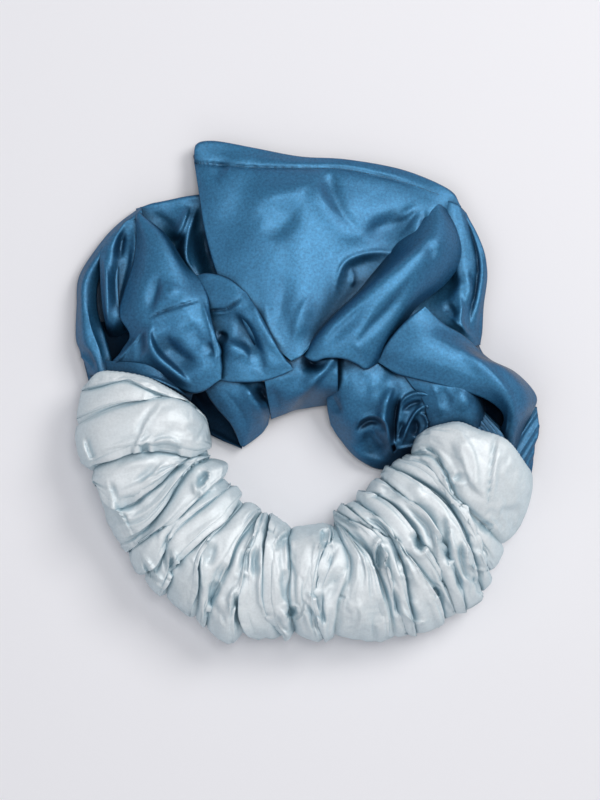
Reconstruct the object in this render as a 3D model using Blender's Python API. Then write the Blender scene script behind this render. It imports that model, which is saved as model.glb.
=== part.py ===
"""Two-tone satin scrunchie, lying flat.

One closed elastic loop runs through two satin casings that are sewn end to end:
a narrow, tightly gathered ice-blue casing round the front of the ring, and a wide
blue casing behind it whose slack satin fans out as a broad flap.

Units are metres, +Z up, +Y towards the blue flap. The origin is at the middle of
the footprint, on the surface the scrunchie rests on.
"""
import bpy
import bmesh
import math
from mathutils import Vector

for old in list(bpy.data.objects):
    bpy.data.objects.remove(old)

# ---------------------------------------------------------------- driving dimensions
RING_RX = 0.0540        # half width of the elastic's path
RING_RY = 0.0530        # depth of the front half of the path
RING_Y = -0.0102        # the path's widest line, where the two casings meet
RING_TOP = 0.0040       # the elastic's straight rear run, also the flap's swing axis
PATH_N = 2.7            # squareness of the rear corners of the path

WALL = 0.0008           # gathered satin wall
GAP = 0.0003            # air between neighbouring pieces

ICE_HALF_SIDE = 0.0205  # ice casing, half width at its ends
ICE_HALF_FRONT = 0.0186 # ice casing, half width at the front
ICE_Z = 0.0125          # centre height of its section
ICE_H = 0.0145          # half height before the foot is flattened
ICE_STATIONS = 68       # two stations make one gather
ICE_RUCHE = 0.0007

NOSE_R = 0.0120         # rolled inner edge of the blue casing, about the swing axis
NOSE_Z = 0.0120
FLAP_TOP = 0.0185       # height of the blue satin behind its rolled edge
FLAP_EDGE = 0.0085      # height near its outer edge
BLUE_STATIONS = 58
BLUE_RUCHE = 0.0005
BLUE_END_Y = -0.0040    # plane of the two open ends

BAND_W = 0.0080         # elastic: width, thickness and lap
BAND_T = 0.0010
BAND_Z = 0.0120
LAP_HALF = 0.0090
LAP_STEP = 0.0015

THREAD_R = 0.00025
JOIN_SIDE = 0.0193      # join collar: half width and half height where it meets the ice casing
JOIN_HIGH = 0.0132
JOIN_NECK_SIDE = 0.0176 # and where it meets the blue one
JOIN_NECK_HIGH = 0.0094

# Outline of the blue casing in plan: (inner x, inner y, outer x, outer y) in mm,
# from the left opening round the flap to the right opening.
BLUE_PLAN = (
    (-36.0, -4.0, -72.0, -4.0),
    (-35.0, -5.0, -74.4, 12.0),
    (-33.5, -6.3, -74.6, 28.0),
    (-31.5, -7.4, -72.0, 44.0),
    (-29.0, -8.0, -63.0, 57.0),
    (-26.0, -8.0, -50.0, 65.0),
    (-22.0, -8.0, -38.0, 74.0),
    (-17.0, -8.0, -29.0, 81.6),
    (-8.0, -8.0, -8.0, 78.0),
    (2.0, -8.0, 10.0, 76.0),
    (12.0, -8.0, 27.0, 73.5),
    (20.0, -8.0, 42.0, 67.0),
    (25.0, -8.0, 52.5, 58.0),
    (29.0, -8.0, 58.5, 43.0),
    (31.5, -7.4, 61.5, 28.0),
    (33.5, -6.3, 68.5, 14.0),
    (35.0, -5.0, 74.6, 4.0),
    (36.0, -4.0, 72.0, -4.0),
)


# ---------------------------------------------------------------- helpers
def material(name, rgb, roughness, metallic=0.0):
    m = bpy.data.materials.new(name)
    m.use_nodes = True
    b = m.node_tree.nodes["Principled BSDF"]
    b.inputs["Base Color"].default_value = (*rgb, 1.0)
    b.inputs["Roughness"].default_value = roughness
    b.inputs["Metallic"].default_value = metallic
    return m


def finish(name, bm, mat, parent, smooth_angle=40.0):
    """Makes the object with its faces pointing out and its origin on its parent."""
    bmesh.ops.recalc_face_normals(bm, faces=bm.faces)
    if bm.calc_volume(signed=True) < 0:
        bmesh.ops.reverse_faces(bm, faces=bm.faces)
    mesh = bpy.data.meshes.new(name)
    at = parent.location
    for v in bm.verts:
        v.co -= at
    bm.to_mesh(mesh)
    bm.free()
    mesh.materials.append(mat)
    mesh.shade_smooth()
    mesh.set_sharp_from_angle(angle=math.radians(smooth_angle))
    obj = bpy.data.objects.new(name, mesh)
    obj.parent = parent
    bpy.context.scene.collection.objects.link(obj)
    return obj


def empty(name, location):
    e = bpy.data.objects.new(name, None)
    e.location = location
    bpy.context.scene.collection.objects.link(e)
    return e


def skin(bm, rings, closed):
    """Quads between neighbouring rings of points; returns the rings' vertices."""
    made = [[bm.verts.new(p) for p in ring] for ring in rings]
    pairs = list(zip(made, made[1:]))
    if closed:
        pairs.append((made[-1], made[0]))
    for a, b in pairs:
        n = len(a)
        for k in range(n):
            bm.faces.new((a[k], a[(k + 1) % n], b[(k + 1) % n], b[k]))
    return made


def sleeve(outer, inner):
    """A hollow casing: outer and inner skins joined by a rim at each open end."""
    bm = bmesh.new()
    o = skin(bm, outer, False)
    i = skin(bm, inner, False)
    n = len(outer[0])
    for end in (0, -1):
        for k in range(n):
            bm.faces.new((o[end][k], o[end][(k + 1) % n], i[end][(k + 1) % n], i[end][k]))
    return bm


def cord(points, radius, closed, sides=6, up=Vector((0, 0, 1))):
    """A thread or cord of round section along points."""
    n = len(points)
    rings = []
    for k, p in enumerate(points):
        a = points[(k - 1) % n] if closed or k else p
        b = points[(k + 1) % n] if closed or k < n - 1 else p
        along = (b - a).normalized()
        side = along.cross(up)
        if side.length < 1e-4:
            side = along.cross(Vector((1, 0, 0)))
        side.normalize()
        lift = side.cross(along).normalized()
        rings.append([p + side * radius * math.cos(2 * math.pi * s / sides)
                      + lift * radius * math.sin(2 * math.pi * s / sides) for s in range(sides)])
    bm = bmesh.new()
    made = skin(bm, rings, closed)
    if not closed:
        bm.faces.new(made[0])
        bm.faces.new(made[-1])
    return bm


def smooth(t):
    t = max(0.0, min(1.0, t))
    return t * t * (3 - 2 * t)


def spline(table, t):
    """Catmull-Rom through the rows of a table, t from 0 to 1."""
    n = len(table) - 1
    f = min(max(t, 0.0), 1.0) * n
    i = min(int(f), n - 1)
    f -= i
    rows = [table[max(i - 1, 0)], table[i], table[i + 1], table[min(i + 2, n)]]
    return [0.5 * (2 * b + (c - a) * f + (2 * a - 5 * b + 4 * c - d) * f * f
                   + (3 * b - a - 3 * c + d) * f ** 3) for a, b, c, d in zip(*rows)]


# ---------------------------------------------------------------- the elastic's path
def front(angle):
    """Point and outward direction on the front half; angle 180 to 360 degrees."""
    c, s = math.cos(angle), math.sin(angle)
    p = Vector((RING_RX * c, RING_Y + RING_RY * s, 0))
    out = Vector((c / RING_RX, s / RING_RY, 0)).normalized()
    return p, out


def rear(angle):
    """The same for the flattened rear half; angle 0 to 180 degrees."""
    c, s = math.cos(angle), math.sin(angle)
    h = RING_TOP - RING_Y
    e = 2 / PATH_N
    x = math.copysign(abs(c) ** e, c)
    y = abs(s) ** e
    p = Vector((RING_RX * x, RING_Y + h * y, 0))
    out = Vector((math.copysign(abs(x) ** (PATH_N - 1), x) / RING_RX, y ** (PATH_N - 1) / h, 0)).normalized()
    return p, out


def loop_path():
    """The elastic from the lap's right end, leftwards round the whole loop, to its left end."""
    right, left = [], []
    x = LAP_HALF
    run = []
    while x > -0.030:
        run.append((Vector((x, RING_TOP, 0)), Vector((0, 1, 0))))
        x -= 0.0045
    corner = [rear(a) for a in (math.radians(d) for d in range(90, 181, 2))]
    left = [q for q in corner if q[0].x < -0.0315]
    bottom = [front(math.radians(180 + 180 * k / 46)) for k in range(1, 47)]
    back = [rear(math.radians(d)) for d in range(2, 90, 2)]
    right = [q for q in back if q[0].x > 0.0315]
    run2 = []
    x = 0.030
    while x > -LAP_HALF - 1e-6:
        run2.append((Vector((x, RING_TOP, 0)), Vector((0, 1, 0))))
        x -= 0.0039
    path = run + left + bottom + right + run2
    thinned = [path[0]]
    for q in path[1:]:
        if (q[0] - thinned[-1][0]).length > 0.0022:
            thinned.append(q)
    n = len(thinned)
    made = []
    for k, (p, out) in enumerate(thinned):
        rise = smooth((k / (n - 1) - 0.70) / 0.16)
        made.append((p + out * LAP_STEP * rise, out))
    return made


# ---------------------------------------------------------------- sections of the casings
ICE_POINTS = 18


def ice_point(t, turn, inset):
    """A point of the ice casing's section. t 0 to 1 along the arc, turn in radians from the outer side over the top."""
    angle = math.pi * (1 + t)
    p, out = front(angle)
    half = ICE_HALF_SIDE + (ICE_HALF_FRONT - ICE_HALF_SIDE) * math.sin(math.pi * t) ** 2
    station = t * (ICE_STATIONS - 1)
    near = 1 - abs((station % 2) - 1)
    ends = smooth(min(t, 1 - t) / 0.03)
    ruche = ICE_RUCHE * (2 * near - 1) * ends
    c, s = math.cos(turn), math.sin(turn)
    x = (half - inset + ruche) * math.copysign(abs(c) ** 0.9, c)
    z = ICE_Z + (ICE_H - inset + ruche) * s
    q = p + out * x
    q.z = max(z, inset)
    return q


BLUE_POINTS = 10


def blue_heights(x, y, inset, from_in, from_out, t, ruche):
    """(top, bottom) of the blue casing at a plan point."""
    nose = NOSE_R - inset
    if y < RING_TOP:
        h = math.sqrt(max(nose * nose - (y - RING_TOP) ** 2, 0.0))
        top, low = NOSE_Z + h, NOSE_Z - h
    else:
        top = FLAP_TOP + (FLAP_EDGE - FLAP_TOP) * smooth((y - 0.006) / 0.066) - inset
        if abs(y - RING_TOP) < nose:
            top = max(top, NOSE_Z + math.sqrt(nose * nose - (y - RING_TOP) ** 2))
        low = inset
    mid, h = (top + low) / 2, (top - low) / 2

    def rounding(e, r):
        k = 1 - min(max(e, 0.0) / r, 1.0)
        return math.sqrt(max(1 - k * k, 0.0))

    shoulder = smooth((0.14 - min(t, 1 - t)) / 0.14)
    h *= rounding(from_out, 0.0045 + 0.005 * shoulder)
    h *= rounding(from_in, 0.0015 + 0.0075 * shoulder)
    lift = ruche * smooth(from_in / 0.012) * smooth(from_out / 0.012) if y > RING_TOP else 0.0
    return mid + h + lift, mid - h


def blue_ring(t, inset):
    """One section of the blue casing, from its inner edge over the top to its outer edge and back underneath."""
    ix, iy, ox, oy = (v / 1000 for v in spline(BLUE_PLAN, t))
    a, b = Vector((ix, iy, 0)), Vector((ox, oy, 0))
    way = (b - a).normalized()
    a, b = a + way * inset, b - way * inset
    span = (b - a).length
    station = t * (BLUE_STATIONS - 1)
    ends = smooth(min(t, 1 - t) / 0.06)
    ruche = BLUE_RUCHE * (1 if round(station) % 2 else -1) * ends
    tops, lows = [], []
    n = BLUE_POINTS
    for k in range(1, n):
        f = 0.5 - 0.5 * math.cos(math.pi * k / n)
        p = a + (b - a) * f
        hi, lo = blue_heights(p.x, p.y, inset, f * span, (1 - f) * span, t, ruche)
        tops.append(Vector((p.x, p.y, hi)))
        lows.append(Vector((p.x, p.y, lo)))
    tip_in = Vector((a.x, a.y, (tops[0].z + lows[0].z) / 2))
    tip_out = Vector((b.x, b.y, (tops[-1].z + lows[-1].z) / 2))
    return [tip_in] + tops + [tip_out] + lows[::-1]


def blue_top(t, back_from_edge, below):
    """A point under the blue casing's top skin, measured back from its outer edge."""
    ix, iy, ox, oy = (v / 1000 for v in spline(BLUE_PLAN, t))
    a, b = Vector((ix, iy, 0)), Vector((ox, oy, 0))
    p = b + (a - b).normalized() * back_from_edge
    hi, lo = blue_heights(p.x, p.y, below, (p - a).length - below, back_from_edge - below, t, 0.0)
    return Vector((p.x, p.y, hi))


# ---------------------------------------------------------------- materials
ice = material("ice_satin", (0.70, 0.82, 0.86), 0.34)
blue = material("blue_satin", (0.045, 0.185, 0.36), 0.32)
knit = material("elastic_knit", (0.80, 0.80, 0.78), 0.75)
ice_thread = material("ice_thread", (0.66, 0.78, 0.82), 0.55)
blue_thread = material("blue_thread", (0.04, 0.15, 0.30), 0.55)

# ---------------------------------------------------------------- bodies
front_body = empty("front", (0, 0, 0))
joins_body = empty("joins", (0, RING_Y, NOSE_Z))
rear_body = empty("rear", (0, RING_TOP, NOSE_Z))

# Ice casing: a gathered tube with a flat foot and two open ends.
turns = [2 * math.pi * k / ICE_POINTS for k in range(ICE_POINTS)]
along = [k / (ICE_STATIONS - 1) for k in range(ICE_STATIONS)]
bm = sleeve([[ice_point(t, a, 0.0) for a in turns] for t in along],
            [[ice_point(t, a, WALL) for a in turns] for t in along])
finish("ice_casing", bm, ice, front_body)

# Its lengthwise seam: a zigzag of thread inside the top skin.
points = []
for k, t in enumerate(along[2:-2]):
    turn = math.radians(62 if k % 2 else 70)
    points.append(ice_point(t, turn, WALL + 0.0007 + THREAD_R))
finish("ice_casing_seam", cord(points, THREAD_R, False, 5), ice_thread, front_body)

# Elastic: a flat band whose two ends lap behind the flap's root.
rings = []
for p, out in loop_path():
    c = Vector((p.x, p.y, BAND_Z))
    u, w = out * BAND_T / 2, Vector((0, 0, BAND_W / 2))
    soft = 0.8
    rings.append([c + u * soft + w, c + u + w * soft, c + u - w * soft, c + u * soft - w,
                  c - u * soft - w, c - u - w * soft, c - u + w * soft, c - u * soft + w])
bm = bmesh.new()
made = skin(bm, rings, False)
bm.faces.new(made[0])
bm.faces.new(made[-1])
finish("elastic_band", bm, knit, front_body)

# Lap stitches: thread wound over both layers of the lap.
centre = Vector((0, RING_TOP + LAP_STEP / 2, BAND_Z))
hy = (LAP_STEP + BAND_T) / 2 + GAP + THREAD_R + 0.0001
hz = BAND_W / 2 + GAP + THREAD_R + 0.0001
corner = [(hy, hz * 0.9), (hy, 0), (hy, -hz * 0.9), (hy * 0.75, -hz), (-hy * 0.75, -hz),
          (-hy, -hz * 0.9), (-hy, 0), (-hy, hz * 0.9), (-hy * 0.75, hz), (hy * 0.75, hz)]
laps = 7
points = []
for k in range(laps * len(corner)):
    y, z = corner[k % len(corner)]
    x = -0.0065 + 0.013 * k / (laps * len(corner) - 1)
    points.append(centre + Vector((x, y, z)))
finish("elastic_lap_stitches", cord(points, THREAD_R * 0.9, False, 5, Vector((1, 0, 0))), ice_thread, front_body)

# Join seams: the stitched collars of turned-in satin that hold the two casings end to end.
# Each collar's neck is cut to the cylinder that the blue casing's rolled edge turns in.
def neck_y(high, radius):
    return RING_TOP - math.sqrt(radius * radius - high * high)


for name, side in (("left_join_seam", -1), ("right_join_seam", 1)):
    n = 40
    rings = []
    for k in range(n):
        a = 2 * math.pi * k / n
        c, s = math.cos(a), math.sin(a)
        pucker = 0.00035 if k % 2 else -0.00035
        base = RING_Y + GAP
        ring = []
        for wide, high, y, thick in ((JOIN_SIDE, JOIN_HIGH, base, 0),
                                     (JOIN_NECK_SIDE, JOIN_NECK_HIGH, None, 0),
                                     (JOIN_NECK_SIDE - WALL, JOIN_NECK_HIGH - WALL, None, WALL),
                                     (JOIN_SIDE - 1.6 * WALL, JOIN_HIGH - 1.6 * WALL, base, WALL)):
            x, z = (wide + pucker) * c, max((high + pucker) * s, thick - NOSE_Z)
            if y is None:
                y = neck_y(z, NOSE_R + 4 * GAP)
            ring.append(Vector((side * RING_RX + x, y, NOSE_Z + z)))
        rings.append(ring)
    bm = bmesh.new()
    skin(bm, rings, True)
    finish(name, bm, blue_thread, joins_body)

# Blue casing: a hollow fan of satin. Its inner edge is rolled round the elastic's rear run.
steps = [k / (BLUE_STATIONS - 1) for k in range(BLUE_STATIONS)]
bm = sleeve([blue_ring(t, 0.0) for t in steps], [blue_ring(t, WALL) for t in steps])
finish("blue_casing", bm, blue, rear_body)

# Its edge seam: a zigzag of thread inside the top skin, beside the outer edge.
points = []
for k, t in enumerate(steps[5:-8]):
    points.append(blue_top(t, 0.0085 if k % 2 else 0.0070, WALL + BLUE_RUCHE + 0.0008 + THREAD_R))
finish("blue_edge_seam", cord(points, THREAD_R, False, 5), blue_thread, rear_body)
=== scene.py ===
"""Looks for the two-tone satin scrunchie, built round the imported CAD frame."""
import math

import bpy
import bmesh
import numpy as np
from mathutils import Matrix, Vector


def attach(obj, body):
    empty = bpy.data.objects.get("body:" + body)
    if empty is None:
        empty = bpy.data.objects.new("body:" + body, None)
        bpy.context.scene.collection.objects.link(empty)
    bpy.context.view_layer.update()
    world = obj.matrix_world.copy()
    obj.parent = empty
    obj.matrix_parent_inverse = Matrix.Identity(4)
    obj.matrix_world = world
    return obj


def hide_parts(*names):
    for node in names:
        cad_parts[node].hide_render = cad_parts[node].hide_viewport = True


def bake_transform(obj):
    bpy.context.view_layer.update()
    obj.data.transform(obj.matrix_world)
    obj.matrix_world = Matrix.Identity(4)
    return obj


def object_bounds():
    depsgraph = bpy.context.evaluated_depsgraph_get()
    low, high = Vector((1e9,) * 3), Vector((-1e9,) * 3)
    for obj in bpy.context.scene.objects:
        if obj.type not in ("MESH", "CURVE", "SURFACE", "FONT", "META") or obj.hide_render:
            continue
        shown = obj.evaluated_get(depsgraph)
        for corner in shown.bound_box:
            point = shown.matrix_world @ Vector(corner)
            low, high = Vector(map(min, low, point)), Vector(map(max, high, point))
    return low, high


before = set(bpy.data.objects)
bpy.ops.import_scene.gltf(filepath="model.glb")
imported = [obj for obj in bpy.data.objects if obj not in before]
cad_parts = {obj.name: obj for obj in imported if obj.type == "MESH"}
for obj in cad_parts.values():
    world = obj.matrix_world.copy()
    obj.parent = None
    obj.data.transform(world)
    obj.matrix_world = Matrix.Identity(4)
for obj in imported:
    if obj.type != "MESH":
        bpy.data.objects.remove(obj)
CAD_LO, CAD_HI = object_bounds()
rng = np.random.default_rng(7)

# ------------------------------------------------------------------ drawing grid
# The satin is laid out on a plan grid fitted to the CAD's box: 457 units wide, with
# (77.5, 142.4) on the box's rear left corner and v running towards the front.
# A point's grid place is where it is seen from the camera, so its plan position
# draws in a little with height.
UNIT = (CAD_HI.x - CAD_LO.x) / 457.0
U0, V0 = 77.5, 142.4
EYE = Vector((CAD_LO.x + (300 - U0) * UNIT, CAD_HI.y - (400 - V0) * UNIT, 1.2))


def plan(u, v):
    return CAD_LO.x + (u - U0) * UNIT, CAD_HI.y - (v - V0) * UNIT


def seat(pts):
    """Array (..., 3) of grid u, grid v, height in mm -> metres in the row frame."""
    p = np.asarray(pts, float)
    z = p[..., 2] * 1e-3
    x = CAD_LO.x + (p[..., 0] - U0) * UNIT
    y = CAD_HI.y - (p[..., 1] - V0) * UNIT
    k = 1 - z / EYE.z
    return np.stack([EYE.x + (x - EYE.x) * k, EYE.y + (y - EYE.y) * k, z], -1)


def smooth(t):
    t = np.clip(t, 0, 1)
    return t * t * (3 - 2 * t)


def catmull(table, t):
    """Catmull-Rom through rows of a table at t in 0..1 (array)."""
    table = np.asarray(table, float)
    n = len(table) - 1
    f = np.clip(np.asarray(t, float), 0, 1) * n
    i = np.minimum(f.astype(int), n - 1)
    f = (f - i)[..., None]
    ext = np.concatenate([[2 * table[0] - table[1]], table, [2 * table[-1] - table[-2]]])
    a, b, c, d = ext[i], ext[i + 1], ext[i + 2], ext[i + 3]
    return 0.5 * (2 * b + (c - a) * f + (2 * a - 5 * b + 4 * c - d) * f ** 2 + (3 * b - a - 3 * c + d) * f ** 3)


def by_length(table, t):
    """The same with t measured along the chord length of the control points (first two columns)."""
    table = np.asarray(table, float)
    step = np.linalg.norm(np.diff(table[:, :2], axis=0), axis=1)
    s = np.concatenate([[0], np.cumsum(step)]) / step.sum()
    tt = np.interp(t, s, np.linspace(0, 1, len(table)))
    return catmull(table, tt)


# ------------------------------------------------------------------ value noise on numpy arrays
_PERM = rng.random((64, 64, 64))


def noise(p, scale, seed=0):
    """Smooth value noise in -1..1 at points p (..., 3) in metres; scale is the feature size in metres."""
    q = p / scale + seed * 17.31 + 100.0
    i = np.floor(q).astype(int)
    f = q - i
    f = f * f * (3 - 2 * f)
    out = 0
    for dx in (0, 1):
        for dy in (0, 1):
            for dz in (0, 1):
                w = (f[..., 0] if dx else 1 - f[..., 0]) * (f[..., 1] if dy else 1 - f[..., 1]) * (f[..., 2] if dz else 1 - f[..., 2])
                out = out + w * _PERM[(i[..., 0] + dx) % 64, (i[..., 1] + dy) % 64, (i[..., 2] + dz) % 64]
    return out * 2 - 1


# ------------------------------------------------------------------ mesh helpers
def grid_mesh(name, P, close_u=False, close_v=False, uv_size=None):
    """A quad mesh from P (nu, nv, 3), with a UV map in metres of cloth."""
    nu, nv = P.shape[:2]
    idx = np.arange(nu * nv).reshape(nu, nv)
    iu = np.arange(nu if close_u else nu - 1)
    jv = np.arange(nv if close_v else nv - 1)
    I, J = np.meshgrid(iu, jv, indexing="ij")
    I2, J2 = (I + 1) % nu, (J + 1) % nv
    quads = np.stack([idx[I, J], idx[I2, J], idx[I2, J2], idx[I, J2]], -1).reshape(-1, 4)
    me = bpy.data.meshes.new(name)
    me.from_pydata(P.reshape(-1, 3).tolist(), [], quads.tolist())
    du = np.linalg.norm(np.diff(P, axis=0), axis=2).mean(1)
    dv = np.linalg.norm(np.diff(P, axis=1), axis=2).mean(0)
    su, sv = np.concatenate([[0], np.cumsum(du)]), np.concatenate([[0], np.cumsum(dv)])
    if close_u:
        su = np.append(su, su[-1] + du.mean())
    if close_v:
        sv = np.append(sv, sv[-1] + dv.mean())
    uv = me.uv_layers.new(name="Cloth")
    cu = np.stack([I, I + 1, I + 1, I], -1).reshape(-1)
    cv = np.stack([J, J, J + 1, J + 1], -1).reshape(-1)
    flat = np.stack([su[np.minimum(cu, len(su) - 1)], sv[np.minimum(cv, len(sv) - 1)]], -1)
    uv.data.foreach_set("uv", flat.astype(np.float32).ravel())
    for p in me.polygons:
        p.use_smooth = True
    me.update()
    return me


def add_object(name, me, mat):
    o = bpy.data.objects.new(name, me)
    bpy.context.scene.collection.objects.link(o)
    o.data.materials.clear()
    o.data.materials.append(mat)
    return o


# ------------------------------------------------------------------ materials
def satin(name, base, deep, facing_highlight, rough, grain=0.5, metal=0.5, crevice=0.3, crease_shade=(0, 0, 0), reach=0.010, sheen=0.1):
    """Polyester satin: weave bump, a painted sheen in the base colour (a painted highlight where the cloth faces the
    camera, painted shade as it tilts away), painted shade in its folds, and an anisotropic sheen.
    """
    m = bpy.data.materials.new(name)
    m.use_nodes = True
    nt = m.node_tree
    N, L = nt.nodes, nt.links
    b = N["Principled BSDF"]
    coord = N.new("ShaderNodeTexCoord")
    # tone: broad random cloth variation, with painted sheen: the ramp goes from a painted highlight where the cloth
    # faces the camera to painted shade at grazing angles
    n1 = N.new("ShaderNodeTexNoise"); n1.inputs["Scale"].default_value = 55.0; n1.inputs["Detail"].default_value = 3.0
    L.new(coord.outputs["Object"], n1.inputs["Vector"])
    n2 = N.new("ShaderNodeTexNoise"); n2.inputs["Scale"].default_value = 1150.0; n2.inputs["Detail"].default_value = 3.0; n2.inputs["Roughness"].default_value = 0.7
    L.new(coord.outputs["Object"], n2.inputs["Vector"])
    lw = N.new("ShaderNodeLayerWeight"); lw.inputs["Blend"].default_value = 0.42
    ramp = N.new("ShaderNodeValToRGB")
    ramp.color_ramp.elements[0].position = 0.0
    ramp.color_ramp.elements[0].color = (*facing_highlight, 1)
    ramp.color_ramp.elements[1].position = 0.85
    ramp.color_ramp.elements[1].color = (*deep, 1)
    mid = ramp.color_ramp.elements.new(0.28)
    mid.color = (*base, 1)
    add = N.new("ShaderNodeMath"); add.operation = "MULTIPLY_ADD"
    add.inputs[1].default_value = 0.30
    L.new(n1.outputs["Fac"], add.inputs[0])
    L.new(lw.outputs["Facing"], add.inputs[2])
    sub = N.new("ShaderNodeMath"); sub.operation = "SUBTRACT"; sub.inputs[1].default_value = 0.15
    L.new(add.outputs[0], sub.inputs[0])
    L.new(sub.outputs[0], ramp.inputs["Fac"])
    grainmix = N.new("ShaderNodeMixRGB"); grainmix.blend_type = "MULTIPLY"
    gr = N.new("ShaderNodeMapRange")
    gr.inputs["From Min"].default_value = 0.30
    gr.inputs["From Max"].default_value = 0.70
    gr.inputs["To Min"].default_value = 1 - 0.30 * grain
    gr.inputs["To Max"].default_value = 1 + 0.30 * grain
    L.new(n2.outputs["Fac"], gr.inputs["Value"])
    grainmix.inputs["Fac"].default_value = 1.0
    L.new(ramp.outputs["Color"], grainmix.inputs["Color1"])
    L.new(gr.outputs["Result"], grainmix.inputs["Color2"])
    # painted shade: ambient occlusion mixes the colour towards a dark crease colour down in the folds
    ao = N.new("ShaderNodeAmbientOcclusion"); ao.samples = 6; ao.inputs["Distance"].default_value = reach
    dark = N.new("ShaderNodeMapRange")
    dark.inputs["From Min"].default_value = crevice
    dark.inputs["From Max"].default_value = 0.95
    dark.inputs["To Min"].default_value = 0.0
    dark.inputs["To Max"].default_value = 1.0
    L.new(ao.outputs["AO"], dark.inputs["Value"])
    shade = N.new("ShaderNodeMixRGB")
    shade.inputs["Color1"].default_value = (*crease_shade, 1)
    L.new(grainmix.outputs["Color"], shade.inputs["Color2"])
    L.new(dark.outputs["Result"], shade.inputs["Fac"])
    L.new(shade.outputs["Color"], b.inputs["Base Color"])
    b.inputs["Metallic"].default_value = metal
    # roughness varies a little
    rr = N.new("ShaderNodeMapRange")
    rr.inputs["To Min"].default_value = rough - 0.05
    rr.inputs["To Max"].default_value = rough + 0.07
    L.new(n1.outputs["Fac"], rr.inputs["Value"])
    L.new(rr.outputs["Result"], b.inputs["Roughness"])
    # weave: two crossed fine waves in cloth units
    uvn = N.new("ShaderNodeUVMap"); uvn.uv_map = "Cloth"
    w1 = N.new("ShaderNodeTexWave"); w1.wave_type = "BANDS"; w1.bands_direction = "X"
    w1.inputs["Scale"].default_value = 900.0; w1.inputs["Distortion"].default_value = 0.6
    w2 = N.new("ShaderNodeTexWave"); w2.wave_type = "BANDS"; w2.bands_direction = "Y"
    w2.inputs["Scale"].default_value = 1300.0; w2.inputs["Distortion"].default_value = 0.8
    L.new(uvn.outputs["UV"], w1.inputs["Vector"])
    L.new(uvn.outputs["UV"], w2.inputs["Vector"])
    wm = N.new("ShaderNodeMath"); wm.operation = "ADD"
    L.new(w1.outputs["Fac"], wm.inputs[0]); L.new(w2.outputs["Fac"], wm.inputs[1])
    wa = N.new("ShaderNodeMath"); wa.operation = "MULTIPLY_ADD"; wa.inputs[1].default_value = 1.2
    L.new(n2.outputs["Fac"], wa.inputs[0]); L.new(wm.outputs[0], wa.inputs[2])
    bump = N.new("ShaderNodeBump"); bump.inputs["Strength"].default_value = 0.22; bump.inputs["Distance"].default_value = 0.00008
    L.new(wa.outputs[0], bump.inputs["Height"])
    L.new(bump.outputs["Normal"], b.inputs["Normal"])
    b.inputs["Specular IOR Level"].default_value = 0.62
    b.inputs["Anisotropic"].default_value = 0.45
    tan = N.new("ShaderNodeTangent"); tan.direction_type = "UV_MAP"; tan.uv_map = "Cloth"
    L.new(tan.outputs["Tangent"], b.inputs["Tangent"])
    b.inputs["Sheen Weight"].default_value = sheen
    b.inputs["Sheen Roughness"].default_value = 0.45
    b.inputs["Sheen Tint"].default_value = (*facing_highlight, 1)
    return m


# first colour of each satin is the cloth's own; the second and third are the painted shade and painted highlight of
# its sheen ramp; the last is the painted shade in its creases
ice_mat = satin("ice_satin", (0.675, 0.765, 0.805), (0.465, 0.600, 0.660), (0.79, 0.84, 0.86), 0.35, 0.20, 0.12, 0.05, (0.22, 0.38, 0.46), 0.0036, 0.15)
blue_mat = satin("blue_satin", (0.028, 0.150, 0.305), (0.006, 0.045, 0.108), (0.046, 0.220, 0.415), 0.37, 0.85, 0.46, 0.26, (0.001, 0.010, 0.030), 0.012, 0.01)

# the tube's inside: a duller reverse satin whose much darker colour is painted shade
shaded_reverse_mat = satin("blue_satin_reverse_shaded", (0.006, 0.040, 0.090), (0.002, 0.014, 0.036), (0.010, 0.060, 0.130), 0.62, 0.9, 0.10, 0.30, (0.001, 0.006, 0.016), 0.014, 0.0)
shaded_reverse_mat.node_tree.nodes["Principled BSDF"].inputs["Specular IOR Level"].default_value = 0.08


def thread(name, colour):
    """Twisted polyester thread."""
    m = bpy.data.materials.new(name)
    m.use_nodes = True
    N, L = m.node_tree.nodes, m.node_tree.links
    b = N["Principled BSDF"]
    co = N.new("ShaderNodeTexCoord")
    w = N.new("ShaderNodeTexWave"); w.bands_direction = "DIAGONAL"; w.inputs["Scale"].default_value = 900.0; w.inputs["Distortion"].default_value = 1.0
    L.new(co.outputs["Object"], w.inputs["Vector"])
    r = N.new("ShaderNodeValToRGB")
    r.color_ramp.elements[0].color = (*[c * 0.6 for c in colour], 1)
    r.color_ramp.elements[1].color = (*[min(1, c * 1.15) for c in colour], 1)
    L.new(w.outputs["Fac"], r.inputs["Fac"])
    L.new(r.outputs["Color"], b.inputs["Base Color"])
    bump = N.new("ShaderNodeBump"); bump.inputs["Strength"].default_value = 0.5; bump.inputs["Distance"].default_value = 0.00005
    L.new(w.outputs["Fac"], bump.inputs["Height"]); L.new(bump.outputs["Normal"], b.inputs["Normal"])
    b.inputs["Roughness"].default_value = 0.5
    return m


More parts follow.
